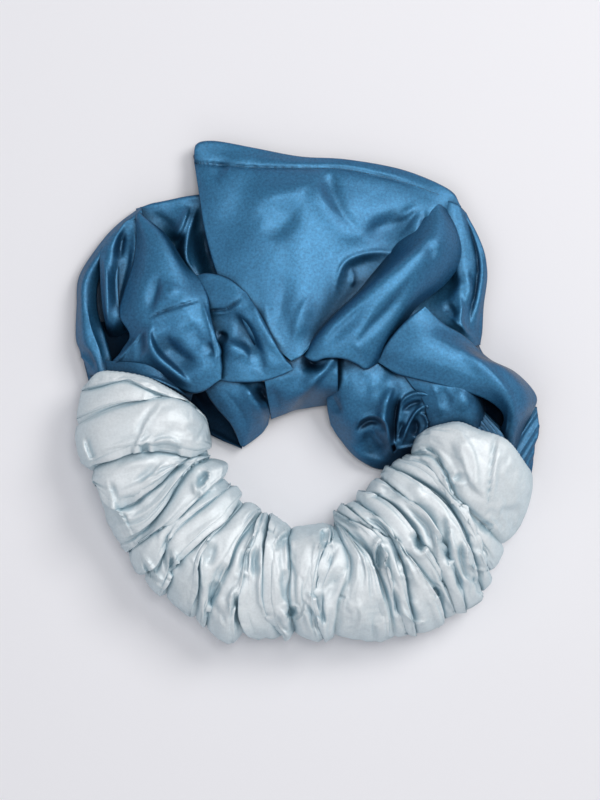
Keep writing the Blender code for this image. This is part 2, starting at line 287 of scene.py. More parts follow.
def knit(name, colour):
    """Braided elastic: rows of small chevrons, matt."""
    m = bpy.data.materials.new(name)
    m.use_nodes = True
    N, L = m.node_tree.nodes, m.node_tree.links
    b = N["Principled BSDF"]
    uv = N.new("ShaderNodeUVMap"); uv.uv_map = "Cloth"
    waves = []
    for direction, scale in (("DIAGONAL", 420.0), ("X", 300.0), ("Y", 360.0)):
        w = N.new("ShaderNodeTexWave"); w.bands_direction = direction; w.inputs["Scale"].default_value = scale
        w.inputs["Distortion"].default_value = 0.7
        L.new(uv.outputs["UV"], w.inputs["Vector"])
        waves.append(w)
    a1 = N.new("ShaderNodeMath"); a1.operation = "ADD"
    a2 = N.new("ShaderNodeMath"); a2.operation = "ADD"
    L.new(waves[0].outputs["Fac"], a1.inputs[0]); L.new(waves[1].outputs["Fac"], a1.inputs[1])
    L.new(a1.outputs[0], a2.inputs[0]); L.new(waves[2].outputs["Fac"], a2.inputs[1])
    r = N.new("ShaderNodeValToRGB")
    r.color_ramp.elements[0].color = (*[c * 0.62 for c in colour], 1)
    r.color_ramp.elements[1].color = (*colour, 1)
    third = N.new("ShaderNodeMath"); third.operation = "MULTIPLY"; third.inputs[1].default_value = 0.4
    L.new(a2.outputs[0], third.inputs[0]); L.new(third.outputs[0], r.inputs["Fac"])
    L.new(r.outputs["Color"], b.inputs["Base Color"])
    bump = N.new("ShaderNodeBump"); bump.inputs["Strength"].default_value = 0.6; bump.inputs["Distance"].default_value = 0.00015
    L.new(a2.outputs[0], bump.inputs["Height"]); L.new(bump.outputs["Normal"], b.inputs["Normal"])
    b.inputs["Roughness"].default_value = 0.85
    b.inputs["Sheen Weight"].default_value = 0.2
    return m


# ------------------------------------------------------------------ folding tools
def net(rows, nu, nv):
    R = np.asarray(rows, float)
    a = np.stack([by_length(r, np.linspace(0, 1, nv)) for r in R])         # (rows, nv, 3)
    return np.stack([catmull(a[:, j], np.linspace(0, 1, nu)) for j in range(nv)], 1)


def along_line(G, line):
    """Distance (grid units) of each point of G from a polyline, the share along it, and the signed side."""
    line = by_length(np.asarray(line, float), np.linspace(0, 1, 24))
    p = G[..., None, :2]
    a, b = line[:-1], line[1:]
    d = b - a
    t = np.clip(((p - a) * d).sum(-1) / np.maximum((d * d).sum(-1), 1e-9), 0, 1)
    q = a + d * t[..., None]
    away = p - q
    dist = np.linalg.norm(away, axis=-1)
    k = dist.argmin(-1)
    pick = lambda arr: np.take_along_axis(arr, k[..., None], -1)[..., 0]
    side = np.sign(pick(d[..., 0] * away[..., 1] - d[..., 1] * away[..., 0]))
    return pick(dist), (k + pick(t)) / len(a), side


def fold(G, line, rise, width, kind="soft", fade=(0.4, 0.4)):
    """Raises (or sinks) the sheet along a line. One flank is steeper than the other, and the fold dies away towards
    its ends. kind: soft, sharp, left or right (a step that falls at once on one side)."""
    lead = max(fade[0], 0.3) if fade[0] else 0
    tail = max(fade[1], 0.3) if fade[1] else 0
    ends_at = np.asarray(line, float)[:, :2]
    lo, hi = ends_at.min(0) - 7 * width, ends_at.max(0) + 7 * width
    near = ((G[..., :2] > lo) & (G[..., :2] < hi)).all(-1)
    if not near.any():
        return G
    dist, t, side = along_line(G[near], line)
    ends = np.ones_like(t)
    if lead:
        ends = ends * smooth(t / lead)
    if tail:
        ends = ends * smooth((1 - t) / tail)
    flank = np.where(side > 0, 1.7, 0.95)
    x = dist / (width * flank * (0.6 + 0.4 * ends))
    if kind == "soft":
        prof = np.exp(-x * x * 0.8)
    elif kind == "sharp":
        prof = np.exp(-x * 1.1)
    else:
        on = side > 0 if kind == "left" else side < 0
        prof = np.where(on, np.exp(-dist / width * 0.8), np.exp(-dist / width * 5))
    G[near, 2] += rise * prof * ends
    return G


def fan(G, centre, first, last, count, reach, rise, width, seed=0):
    """Drag folds spreading from a pinch: directions in degrees (0 = +u, 90 = +v, towards the front)."""
    r = np.random.default_rng(seed)
    for k in range(count):
        a = math.radians(first + (last - first) * (k + 0.25 + 0.5 * r.random()) / count)
        near = 0.05 + 0.10 * r.random()
        far = 0.55 + 0.45 * r.random()
        bend = math.radians(r.uniform(-9, 9))
        pts = [(centre[0] + reach * q * math.cos(a + bend * q), centre[1] + reach * q * math.sin(a + bend * q)) for q in np.linspace(near, far, 5)]
        fold(G, pts, rise * r.uniform(0.5, 1.0) * (1 if k % 2 == 0 else -0.7), width * r.uniform(0.7, 1.3), "soft", (0.3, 0.6))
    return G


def pit(G, outline, depth, wall=2.0, lip=0.0, far=14.0):
    """Sinks what lies inside a closed outline, with a steep wall and a raised lip, and lets the bottom go on falling."""
    o = np.asarray(outline, float)
    o = catmull(np.concatenate([o, o[:1]]), np.linspace(0, 1, 60))
    near = ((G[..., :2] > o.min(0) - 8) & (G[..., :2] < o.max(0) + 8)).all(-1)
    if not near.any():
        return G
    p = G[near][:, :2]
    a, b = o[:-1], o[1:]
    d = b - a
    t = np.clip(((p[:, None] - a) * d).sum(-1) / np.maximum((d * d).sum(-1), 1e-9), 0, 1)
    dist = np.linalg.norm(p[:, None] - (a + d * t[..., None]), axis=-1).min(1)
    x, y = p[:, :1], p[:, 1:]
    cross = ((a[:, 1] > y) != (b[:, 1] > y)) & (x < (b[:, 0] - a[:, 0]) * (y - a[:, 1]) / np.where(np.abs(b[:, 1] - a[:, 1]) < 1e-9, 1e-9, b[:, 1] - a[:, 1]) + a[:, 0])
    inside = cross.sum(1) % 2 == 1
    down = np.where(inside, -depth * (0.7 * smooth(dist / wall) + 0.3 * smooth(dist / far)), 0)
    G[near, 2] += down + lip * np.exp(-(dist / 1.8) ** 2) * np.where(inside, np.exp(-dist), 1)
    return G


def crumple(G, size, amount, seed, stretch=(1, 1), angle=0.0):
    """Small seeded undulation of the sheet, drawn out along one direction."""
    c, s = math.cos(angle), math.sin(angle)
    q = np.stack([(G[..., 0] * c + G[..., 1] * s) / stretch[0], (-G[..., 0] * s + G[..., 1] * c) / stretch[1],
                  np.zeros(G.shape[:2])], -1)
    G[..., 2] += amount * noise(q, size, seed) + amount * 0.35 * noise(q, size * 0.47, seed + 3)
    return G


def turn(P, side, radius, back, drop=0.0, part=(0.0, 1.0), taper=12, skip=(0, 0)):
    """Carries the sheet round a fold at one of its edges (u0, u1, v0, v1) and back underneath, less and less at the corners."""
    Q = P if side[0] == "u" else P.transpose(1, 0, 2)
    if side[1] == "0":
        Q = Q[::-1]
    edge, prev = Q[-1], Q[-4]
    steps = 7
    k = np.arange(len(edge)) - skip[0]
    last_k = len(edge) - 1 - skip[0] - skip[1]
    first, final = part[0] * last_k, part[1] * last_k
    small = 0.02 + 0.98 * smooth(np.minimum(k - first, final - k) / max(taper, 1))
    d = edge - prev
    room = np.linalg.norm(d, axis=1)
    small = small * smooth(room / 0.0012)
    d[:, 2] *= 0.6
    d /= np.maximum(np.linalg.norm(d, axis=1, keepdims=True), 1e-9)
    tang = np.gradient(edge, axis=0)
    tang /= np.maximum(np.linalg.norm(tang, axis=1, keepdims=True), 1e-9)
    n = np.cross(tang, d)
    n *= np.where(n[:, 2:] > 0, -1, 1)
    n /= np.maximum(np.linalg.norm(n, axis=1, keepdims=True), 1e-9)
    r = (radius * 1e-3 * small)[:, None]
    rows = []
    for j in range(1, steps + 1):
        a = math.pi * j / steps
        rows.append(edge + d * r * math.sin(a) + n * r * (1 - math.cos(a)))
    last = rows[-1]
    for j in range(1, 5):
        e = last - d * (back * 1e-3 * small)[:, None] * j / 4
        e[:, 2] -= drop * 1e-3 * small * smooth(j / 4)
        rows.append(e)
    for row in rows:
        row[:, 2] = np.maximum(row[:, 2], 0.0006)
    Q = np.concatenate([Q, np.stack(rows)])
    if side[1] == "0":
        Q = Q[::-1]
    return Q if side[0] == "u" else Q.transpose(1, 0, 2)


# ------------------------------------------------------------------ ice casing
# Each row is one crease between two pleats, from the hair side to the outside of the
# ring, as plan points, then how far the pleat after it bulges (mm at its widest) and
# how far that pleat leans over its next neighbour (grid units).
CREASES = [
    ([(203, 414), (185, 398), (164, 385.5), (146, 377), (121, 372), (99, 372), (87, 384)], 1.8, 1.0),
    ([(205, 420), (190, 404), (166, 397), (147, 390), (125, 382), (101, 387), (84, 391)], 1.6, 2.0),
    ([(206, 424), (190, 405), (178, 398.5), (164, 397), (141, 401), (111, 409), (80, 424)], 4.2, 3.0),
    ([(205, 450), (190, 455.5), (165, 452), (148, 450.5), (131, 451), (110, 459), (96, 470)], 2.2, 1.5),
    ([(206, 455), (188, 458), (172, 470), (155, 487), (130, 505), (112, 505), (98, 476)], 1.6, 1.5),
    ([(207, 459), (189, 468), (176, 484), (166, 502), (150, 523), (131, 539), (122, 543)], 2.2, 2.2),
    ([(221, 479), (208, 490), (185, 510), (172, 521), (159, 529), (145, 538), (131, 548)], 1.8, 1.5),
    ([(228, 487), (212, 500), (190, 518), (172, 534), (166, 550), (160, 566), (146, 574)], 2.4, 2.0),
    ([(238, 500), (222, 521), (206, 533), (191, 547), (177, 562), (169, 577), (167, 592)], 2.4, 2.2),
    ([(243, 504), (225, 524), (207, 540), (198, 556), (198, 575), (199, 590), (196, 615)], 2.2, 1.5),
    ([(259, 517), (245, 533), (236, 548), (229, 566), (218, 589), (210, 604), (207, 622)], 2.0, 1.5),
    ([(261, 519), (252, 540), (246, 557), (244, 578), (241, 597), (239, 615), (243, 632)], 1.8, -1.0),
    ([(268, 517), (269, 531), (268, 549), (267, 570), (267, 590), (270, 612), (283, 634)], 2.6, -1.0),
    ([(292, 529), (289, 540), (290, 556), (290, 575), (288, 592), (290, 608), (294, 629)], 3.2, 1.5),
    ([(331, 527), (333, 540), (325, 557), (319, 574), (316, 592), (318, 609), (325, 634)], 2.0, -1.5),
    ([(335, 526), (341, 540), (350, 560), (349, 577), (341, 598), (338, 617), (335, 633)], 2.2, 1.0),
    ([(335, 522), (353, 540), (366, 553), (375, 569), (382, 588), (390, 612), (394, 634)], 2.4, 1.8),
    ([(337, 516), (354, 526), (371, 536), (381, 550), (386, 572), (393, 598), (404, 631)], 1.8, 1.4),
    ([(345, 509), (366, 526), (381, 535), (393, 546), (401, 565), (406, 592), (413, 630)], 2.3, 1.8),
    ([(358, 507), (378, 520), (394, 536), (408, 556), (423, 574), (436, 592), (444, 616)], 2.2, 1.8),
    ([(364, 497), (380, 499), (397, 511), (412, 530), (426, 552), (438, 574), (452, 610)], 2.2, 1.8),
    ([(381, 481), (399, 497), (422, 513), (435, 530), (445, 553), (456, 574), (462, 607)], 2.2, 1.8),
    ([(392, 472), (413, 481), (436, 496), (452, 513), (462, 530), (470, 550), (480, 588)], 2.4, 1.4),
    ([(405, 465), (424, 470), (441, 484), (454, 500), (468, 520), (478, 542), (486, 568)], 1.8, -1.5),
    ([(413, 455), (432, 455), (446, 473), (455, 496), (470, 512), (486, 526), (502, 543)], 4.2, 0.8),
    ([(421, 434), (429, 428), (442, 424), (459, 422), (480, 430), (508, 441), (530, 470)], 0, 0),
]

# how far single pleats swell into the hair opening, and out past the ring (grid units)
HAIR_LOBES = {2: 2, 4: 1, 5: 7.5, 6: -1, 7: 1.5, 8: -2, 9: 3, 10: -1.5, 11: 2.5, 12: -1.5, 13: -3.5, 14: -1, 15: 1, 16: 4, 17: 3.5, 18: 2, 19: 4.5, 20: 2, 21: 3, 22: 3.5, 23: 2.5}
OUTER_LOBES = {3: 2, 5: 1.5, 6: 3, 7: 3.5, 9: 1, 10: 9, 11: 1, 12: 4, 13: 1, 14: 3.5, 16: 2, 17: 5, 18: 2, 19: 1, 20: 4, 21: 2, 22: 4, 23: 3}

PLEAT_AT = []   # first mesh column of each pleat
ICE_M = 15      # mesh columns across one pleat
ICE_TOP, ICE_LOW = 104, 34      # mesh rows over the top and under the tube
ICE_T = ICE_TOP + ICE_LOW
THETA = np.concatenate([np.linspace(-0.25, math.pi + 0.25, ICE_TOP, endpoint=False),
                        np.linspace(math.pi + 0.25, 2 * math.pi - 0.25, ICE_LOW, endpoint=False)])

# ridges and hollows over the pleats: line, rise in mm, width in grid units, kind, how fast each end dies away
ICE_FOLDS = [
    ([(164, 401), (149, 419), (140, 438), (131, 449)], 0.9, 1.6, "sharp", (0.1, 0.1)),
    ([(160, 402), (145, 419), (136, 438)], -0.7, 2.2, "soft", (0.2, 0.2)),
    ([(150, 444), (160, 440), (170, 440), (184, 447)], 1.4, 1.5, "sharp", (0.2, 0.3)),
    ([(150, 447), (165, 446), (182, 450)], -1.4, 1.6, "soft", (0.2, 0.3)),
    ([(131, 447), (140, 443), (150, 441)], 0.9, 1.1, "sharp", (0.3, 0.3)),
    ([(133, 451), (142, 446), (151, 445)], -1.1, 1.1, "sharp", (0.3, 0.3)),
    ([(150, 419), (170, 414), (192, 424), (206, 436)], 0.8, 9, "soft", (0.3, 0.3)),
    ([(182, 430), (196, 428), (208, 433)], -0.9, 4, "soft", (0.4, 0.1)),
    ([(83, 436), (86, 448), (93, 462)], 1.6, 2.4, "soft", (0.2, 0.2)),
    ([(88, 434), (91, 448), (98, 462)], -1.0, 2.0, "soft", (0.2, 0.2)),
    ([(118, 476), (136, 462), (160, 456)], 0.9, 7, "soft"),
    ([(120, 494), (127, 501), (136, 500), (141, 492)], -2.0, 5, "soft"),
    ([(113, 494), (115, 506), (126, 512), (138, 508)], 1.4, 3, "soft"),
    ([(140, 485), (152, 474), (166, 461)], 1.6, 3.2, "sharp", (0.3, 0.3)),
    ([(133, 482), (146, 474), (160, 462)], -1.0, 4, "soft"),
    ([(106, 476), (116, 504), (127, 526), (134, 541)], 1.2, 1.6, "sharp", (0.1, 0.1)),
    ([(110, 476), (120, 504), (130, 526)], -0.8, 2.0, "soft", (0.1, 0.2)),
    ([(199, 460), (185, 477), (171, 497), (154, 520), (134, 542)], -1.6, 1.2, "sharp", (0.1, 0.05)),
    ([(170, 466), (176, 463), (190, 459), (202, 457)], 1.4, 2.4, "sharp", (0.2, 0.2)),
    ([(172, 470), (184, 466), (196, 464)], -1.2, 2.2, "soft"),
    ([(216, 458), (221, 470), (214, 485), (200, 493), (193, 489), (193, 478), (206, 468)], 1.7, 2.0, "sharp", (0.1, 0.2)),
    ([(207, 473), (199, 481), (198, 487)], -2.2, 3.4, "soft", (0.2, 0.2)),
    ([(166, 549), (173, 551), (177, 561), (171, 578)], 1.6, 1.8, "sharp", (0.2, 0.2)),
    ([(173, 556), (173, 566), (168, 576)], -2.0, 1.8, "soft", (0.2, 0.2)),
    ([(177, 523), (168, 538), (166, 556), (168, 578)], -1.6, 1.4, "sharp", (0.2, 0.1)),
    ([(142, 555), (151, 562), (159, 575), (168, 583)], 1.6, 1.8, "sharp", (0.1, 0.1)),
    ([(140, 560), (148, 571), (158, 583), (167, 590)], 1.1, 1.6, "sharp", (0.1, 0.1)),
    ([(144, 562), (152, 572), (160, 582)], -0.9, 1.6, "soft", (0.1, 0.1)),
    ([(222, 523), (210, 538), (202, 553), (203, 575), (206, 600)], 1.5, 2.4, "sharp", (0.1, 0.2)),
    ([(217, 540), (212, 555), (210, 568)], -1.8, 3.0, "soft"),
    ([(226, 560), (216, 583), (209, 612)], -2.4, 2.8, "soft", (0.2, 0.1)),
    ([(231, 617), (231, 599), (234, 589), (241, 587)], 1.8, 2.2, "sharp", (0.1, 0.3)),
    ([(237, 594), (238, 608), (243, 624)], -2.4, 2.2, "soft", (0.2, 0.1)),
    ([(230, 575), (238, 575), (246, 577)], 0.8, 1.0, "left", (0.1, 0.1)),
    ([(262, 524), (255, 534), (248, 553), (246, 575)], 1.2, 1.8, "sharp", (0.1, 0.1)),
    ([(250, 545), (246, 560), (244, 575)], -2.2, 2.4, "soft"),
    ([(259, 545), (256, 562), (258, 580)], -2.2, 2.6, "soft"),
    ([(265, 522), (262, 548), (261, 574), (264, 606), (276, 632)], 1.4, 1.5, "sharp", (0.1, 0.1)),
    ([(268, 519), (266, 545), (266, 573), (269, 606), (281, 633)], -2.0, 1.1, "sharp", (0.0, 0.0)),
    ([(272, 547), (280, 534), (290, 527), (306, 525)], 1.5, 1.8, "sharp", (0.2, 0.2)),
    ([(274, 552), (281, 541), (290, 533)], -1.6, 2.0, "soft"),
    ([(288, 532), (293, 542), (292, 556), (296, 570)], 1.4, 2.4, "sharp", (0.2, 0.2)),
    ([(276, 604), (288, 602), (300, 605)], 0.9, 1.2, "left", (0.1, 0.1)),
    ([(279, 604), (285, 614), (297, 620), (303, 612), (300, 602)], 1.7, 2.0, "sharp", (0.1, 0.2)),
    ([(288, 608), (295, 612)], -2.0, 2.4, "soft", (0.1, 0.1)),
    ([(276, 612), (281, 624), (290, 632)], -1.6, 1.6, "soft", (0.1, 0.1)),
    ([(336, 529), (333, 540), (327, 549)], 1.8, 2.4, "sharp", (0.1, 0.2)),
    ([(313, 530), (318, 543), (326, 550)], 1.6, 3.2, "soft", (0.1, 0.2)),
    ([(339, 545), (331, 562), (323, 584), (322, 600)], -1.5, 1.6, "sharp", (0.2, 0.2)),
    ([(336, 548), (326, 566), (319, 586), (322, 610)], 1.0, 2.6, "soft"),
    ([(352, 558), (349, 575), (345, 592), (334, 628)], 1.7, 2.0, "sharp", (0.2, 0.1)),
    ([(340, 566), (334, 586), (330, 606)], -1.0, 4, "soft"),
    ([(352, 562), (343, 574), (330, 585), (322, 594)], -0.9, 1.0, "sharp", (0.1, 0.1)),
    ([(352, 560), (368, 572), (380, 590), (386, 612)], -0.8, 5.0, "soft"),
    ([(236, 545), (228, 566), (218, 590), (209, 614)], 1.2, 1.4, "sharp", (0.1, 0.1)),
    ([(212, 600), (222, 612), (226, 626)], -1.2, 2.6, "soft"),
    ([(228, 596), (222, 608), (224, 628)], 1.3, 1.6, "sharp", (0.1, 0.1)),
    ([(304, 594), (311, 595), (318, 610), (326, 631)], 1.9, 2.2, "sharp", (0.1, 0.1)),
    ([(308, 603), (314, 618), (320, 632)], -1.8, 2.0, "soft", (0.1, 0.1)),
    ([(325, 590), (322, 608), (328, 626)], -1.8, 2.2, "soft", (0.2, 0.1)),
    ([(348, 596), (360, 612), (378, 622)], 0.9, 6, "soft"),
    ([(372, 596), (378, 610), (376, 626)], -0.8, 5, "soft"),
    ([(339, 524), (352, 532), (364, 546), (372, 560), (386, 594), (394, 618)], -1.8, 1.3, "sharp", (0.1, 0.05)),
    ([(374, 572), (373, 548), (378, 541), (383, 547), (384, 563), (389, 585)], 1.8, 1.7, "sharp", (0.1, 0.2)),
    ([(377, 548), (377, 558), (379, 570)], -3.0, 2.2, "soft", (0.1, 0.2)),
    ([(321, 515), (329, 508), (339, 504), (350, 508), (366, 522), (381, 537)], 1.8, 2.4, "sharp", (0.1, 0.2)),
    ([(319, 523), (329, 517), (341, 519), (360, 533)], -2.2, 2.0, "soft", (0.1, 0.2)),
    ([(360, 514), (372, 515), (384, 523), (396, 537), (402, 556), (404, 576)], 1.5, 1.7, "sharp", (0.1, 0.2)),
    ([(362, 519), (378, 524), (390, 538), (397, 556), (399, 574)], -1.8, 1.6, "soft", (0.1, 0.2)),
    ([(397, 577), (404, 576), (410, 578)], 0.9, 1.2, "right", (0.1, 0.1)),
    ([(362, 498), (376, 497), (392, 505), (406, 518), (416, 531), (421, 545)], -2.4, 1.4, "sharp", (0.1, 0.1)),
    ([(415, 530), (418, 541), (421, 551)], -3.0, 2.6, "soft", (0.1, 0.1)),
    ([(412, 533), (413, 550), (420, 556), (426, 548), (424, 535)], 1.5, 1.8, "sharp", (0.1, 0.1)),
    ([(360, 492), (366, 484), (378, 480), (391, 485), (413, 505), (431, 526), (438, 548), (438, 586)], 1.9, 1.9, "sharp", (0.05, 0.1)),
    ([(378, 487), (388, 491), (401, 502)], -1.4, 2.4, "soft"),
    ([(400, 503), (420, 520), (430, 536), (434, 556)], -1.6, 1.6, "soft"),
    ([(441, 540), (448, 556), (456, 576), (462, 596)], -2.2, 1.5, "sharp", (0.1, 0.1)),
    ([(441, 530), (445, 548), (443, 566)], -2.2, 2.4, "soft"),
    ([(446, 512), (448, 530), (452, 546), (460, 564), (467, 584), (469, 599)], 1.5, 1.8, "sharp", (0.2, 0.1)),
    ([(443, 514), (443, 528), (446, 540)], -1.8, 2.4, "soft"),
    ([(412, 480), (418, 494), (420, 508)], 0.9, 5, "soft"),
    ([(404, 604), (405, 613), (414, 621), (428, 620)], 1.7, 1.8, "sharp", (0.1, 0.2)),
    ([(408, 598), (415, 604), (420, 614)], 1.2, 1.6, "sharp", (0.1, 0.2)),
    ([(392, 584), (396, 602), (398, 620)], -2.2, 2.6, "soft"),
    ([(421, 450), (430, 450), (438, 456), (444, 470)], -3.4, 1.3, "sharp", (0.1, 0.1)),
    ([(411, 462), (412, 454), (421, 450), (434, 456), (444, 473), (453, 495), (468, 515)], 2.4, 2.2, "sharp", (0.1, 0.2)),
    ([(446, 475), (454, 497), (469, 514), (485, 528), (500, 541)], -1.8, 1.4, "sharp", (0.1, 0.1)),
    ([(450, 474), (453, 482), (461, 484), (464, 479)], 1.4, 1.7, "sharp", (0.2, 0.2)),
    ([(455, 474), (460, 479)], -1.3, 2.2, "soft", (0.1, 0.1)),
    ([(405, 475), (423, 485), (441, 499), (454, 517), (466, 535)], -2.2, 1.5, "sharp", (0.1, 0.1)),
    ([(496, 439), (493, 455), (490, 473), (487, 497), (487, 510)], -1.7, 1.2, "sharp", (0.0, 0.1)),
    ([(499, 441), (496, 460), (493, 478), (490, 500)], 0.8, 3.0, "soft", (0.1, 0.2)),
    ([(459, 432), (467, 452), (474, 476), (480, 500)], 1.4, 6, "soft", (0.1, 0.2)),
    ([(447, 440), (455, 456), (462, 474)], -1.0, 5, "soft"),
    ([(484, 512), (489, 518), (496, 530), (503, 542)], 1.4, 1.8, "sharp", (0.2, 0.1)),
    ([(478, 518), (484, 522), (489, 519)], -1.4, 2.0, "soft", (0.2, 0.2)),
    ([(515, 500), (512, 518), (506, 534)], -0.9, 5, "soft"),
    ([(464, 535), (469, 538), (466, 551), (468, 563), (477, 569), (488, 568)], 1.9, 1.6, "sharp", (0.1, 0.2)),
    ([(461, 540), (460, 552), (464, 570), (472, 582)], -2.4, 1.8, "soft", (0.1, 0.1)),
    ([(472, 548), (482, 556), (494, 562)], 0.9, 4, "soft"),
    ([(471, 574), (478, 584), (480, 596)], -2.0, 1.6, "soft", (0.1, 0.1)),
]


# pockets that open between the pleats: outline, depth in mm, wall width, lip
ICE_PITS = [
    ([(430, 586), (436, 587), (438, 594), (434, 597)], 3.6, 1.8, 0.5),
    ([(281, 570), (288, 570), (291, 584), (288, 599), (281, 598), (279, 584)], 1.7, 5.2, 0.2),
    ([(320, 533), (325, 530), (330, 532), (329, 546), (325, 550), (321, 544)], 2.1, 3.9, 1.0),
    ([(375, 547), (379, 545), (382, 552), (381, 568), (376, 566)], 1.7, 2.7, 0.8),
    ([(415, 533), (421, 536), (424, 546), (420, 552), (415, 545)], 1.9, 3.0, 0.8),
    ([(441, 545), (446, 550), (449, 562), (445, 563)], 1.5, 2.7, 0.4),
    ([(208, 584), (217, 579), (222, 588), (215, 606), (209, 610)], 1.5, 3.9, 0.4),
    ([(234, 594), (239, 593), (241, 606), (238, 617), (235, 606)], 1.5, 2.7, 0.6),
    ([(246, 550), (250, 548), (250, 566), (246, 574)], 1.3, 2.4, 0.4),
    ([(195, 477), (204, 469), (207, 476), (201, 486), (195, 487)], 1.3, 3.0, 0.9),
    ([(170, 556), (175, 556), (174, 566), (169, 572)], 1.5, 2.7, 0.5),
    ([(143, 560), (148, 563), (153, 573), (148, 574)], 0.5, 2.7, 0.4),
    ([(135, 449), (141, 445), (149, 444), (148, 448), (140, 451)], 1.1, 1.8, 0.6),
    ([(286, 606), (296, 606), (298, 613), (291, 616)], 0.7, 2.7, 0.5),
]


def ice_surface():
    theta = THETA                                               # 0 hair side, pi/2 top, pi outside, 3pi/2 under
    g = 0.5 - 0.5 * np.cos(theta)
    lines = [by_length(c[0], g) for c in CREASES]               # (T, 2) each
    cols = []
    PLEAT_AT.clear()
    run = 0.0
    st = np.sin(theta)
    r = np.random.default_rng(21)
    ramp = 0.12 + 0.88 * smooth((st - 0.05) / 0.6)
    DEPTH = []
    for k in range(len(lines)):
        q = np.stack([theta * 10, np.full(ICE_T, k * 37.0), np.zeros(ICE_T)], -1)
        DEPTH.append(ramp * np.clip(0.75 + 0.75 * noise(q, 9.0, 3), 0.08, 1.3) * r.uniform(0.6, 1.1) * (0.45 if k < 4 else 1.0))
    for k in range(len(lines) - 1):
        a, b = lines[k], lines[k + 1]
        bulge, lean = CREASES[k][1], CREASES[k][2]
        w = np.linalg.norm(b - a, axis=1)                        # width in units, per theta
        out = (a[ICE_TOP // 2 + 40] - a[8]) + (b[ICE_TOP // 2 + 40] - b[8])
        out = out / np.linalg.norm(out)
        m = ICE_M if w.max() < 42 else ICE_M + 10
        fs = np.linspace(0, 1, m, endpoint=False)
        if k == len(lines) - 2:
            fs = np.linspace(0, 1, m + 1)
        PLEAT_AT.append(len(cols))
        mean = w.mean()
        for f in fs:
            crest = 0.5 + 0.10 * np.sign(lean)
            q = f / crest * 0.5 if f < crest else 0.5 + (f - crest) / (1 - crest) * 0.5
            prof = (1 - abs(2 * q - 1) ** 2.1) ** (1 / 1.7)
            amp = np.minimum(bulge, 0.45 * w * UNIT * 1e3) * prof
            edge = k if f < 0.5 else k + 1
            deep = 0 if edge in (0, len(lines) - 1) else DEPTH[edge]
            amp = amp - 1.9 * deep * np.exp(-min(f, 1 - f) * w / 1.25)
            push = 2.3 * lean / np.maximum(w, 5) * math.sin(math.pi * f) ** 1.4
            s = f + np.clip(push, -0.42, 0.42)
            p = a + (b - a) * s[:, None]
            swell = math.sin(math.pi * f) ** 0.8
            cols.append((p, amp, out, run + f * mean, HAIR_LOBES.get(k, 0) * swell, OUTER_LOBES.get(k, 0) * swell, 0.30 if bulge > 3.5 else 0.75))
        run += mean
    n = len(cols)
    G = np.zeros((n, ICE_T, 3))
    ct = np.cos(theta)
    top = np.maximum(st, 0)
    under = np.maximum(-st, 0)
    along = np.array([c[3] for c in cols])
    # drag folds: long and thin across the ring, closer together towards the hair side
    q = np.stack(np.broadcast_arrays(along[:, None], (theta * 14)[None, :], np.zeros((n, ICE_T))), -1)
    wander = 6.0 * noise(q, 24.0, 11) + 1.8 * noise(q, 8.0, 12)
    bent = q + wander[..., None] * [1.0, 0.0, 0.0]
    drag = 1.9 * (np.abs(noise(bent * [1, 0.50, 1], 7.5, 2)) - 0.30) + 0.9 * (np.abs(noise(bent * [1, 0.62, 1], 3.6, 5)) - 0.30)
    slow = noise(q, 30.0, 9)
    calm = smooth(along / 60) * smooth((along[-1] - along) / 60) * 0.8 + 0.2
    drag = drag * calm[:, None] * (0.6 + 0.5 * slow)
    for i, (p, amp, out, _, inward, outward, plump) in enumerate(cols):
        z = 12.0 + 10.4 * top ** 0.85 - 11.2 * under ** 0.6
        nx = -ct * np.abs(ct) ** 0.5
        nz = np.sign(st) * np.abs(st) ** 0.7
        amp_here = amp * np.where(st < 0, 0.45, 1.0) + drag[i] * np.where(st < 0, 0.3, 1.0)
        side = amp_here * np.where(ct > 0, plump, 0.75) / (UNIT * 1e3)
        side = side * nx + outward * np.maximum(-ct, 0) ** 1.6 - inward * np.maximum(ct, 0) ** 1.6
        G[i, :, 0] = p[:, 0] + out[0] * side
        G[i, :, 1] = p[:, 1] + out[1] * side
        G[i, :, 2] = z + amp_here * nz * np.where(st < 0, 0.3, 1.0)
    over = smooth((st + 0.05) / 0.35)[None, :]
    was = G[..., 2].copy()
    for f in ICE_FOLDS:
        fold(G, *f)
    for f in ICE_PITS:
        pit(G, *f)
    G[..., 2] = was + (G[..., 2] - was) * over
    G[..., 2] = np.clip(G[..., 2], 0.25, 27.3)
    return seat(G)


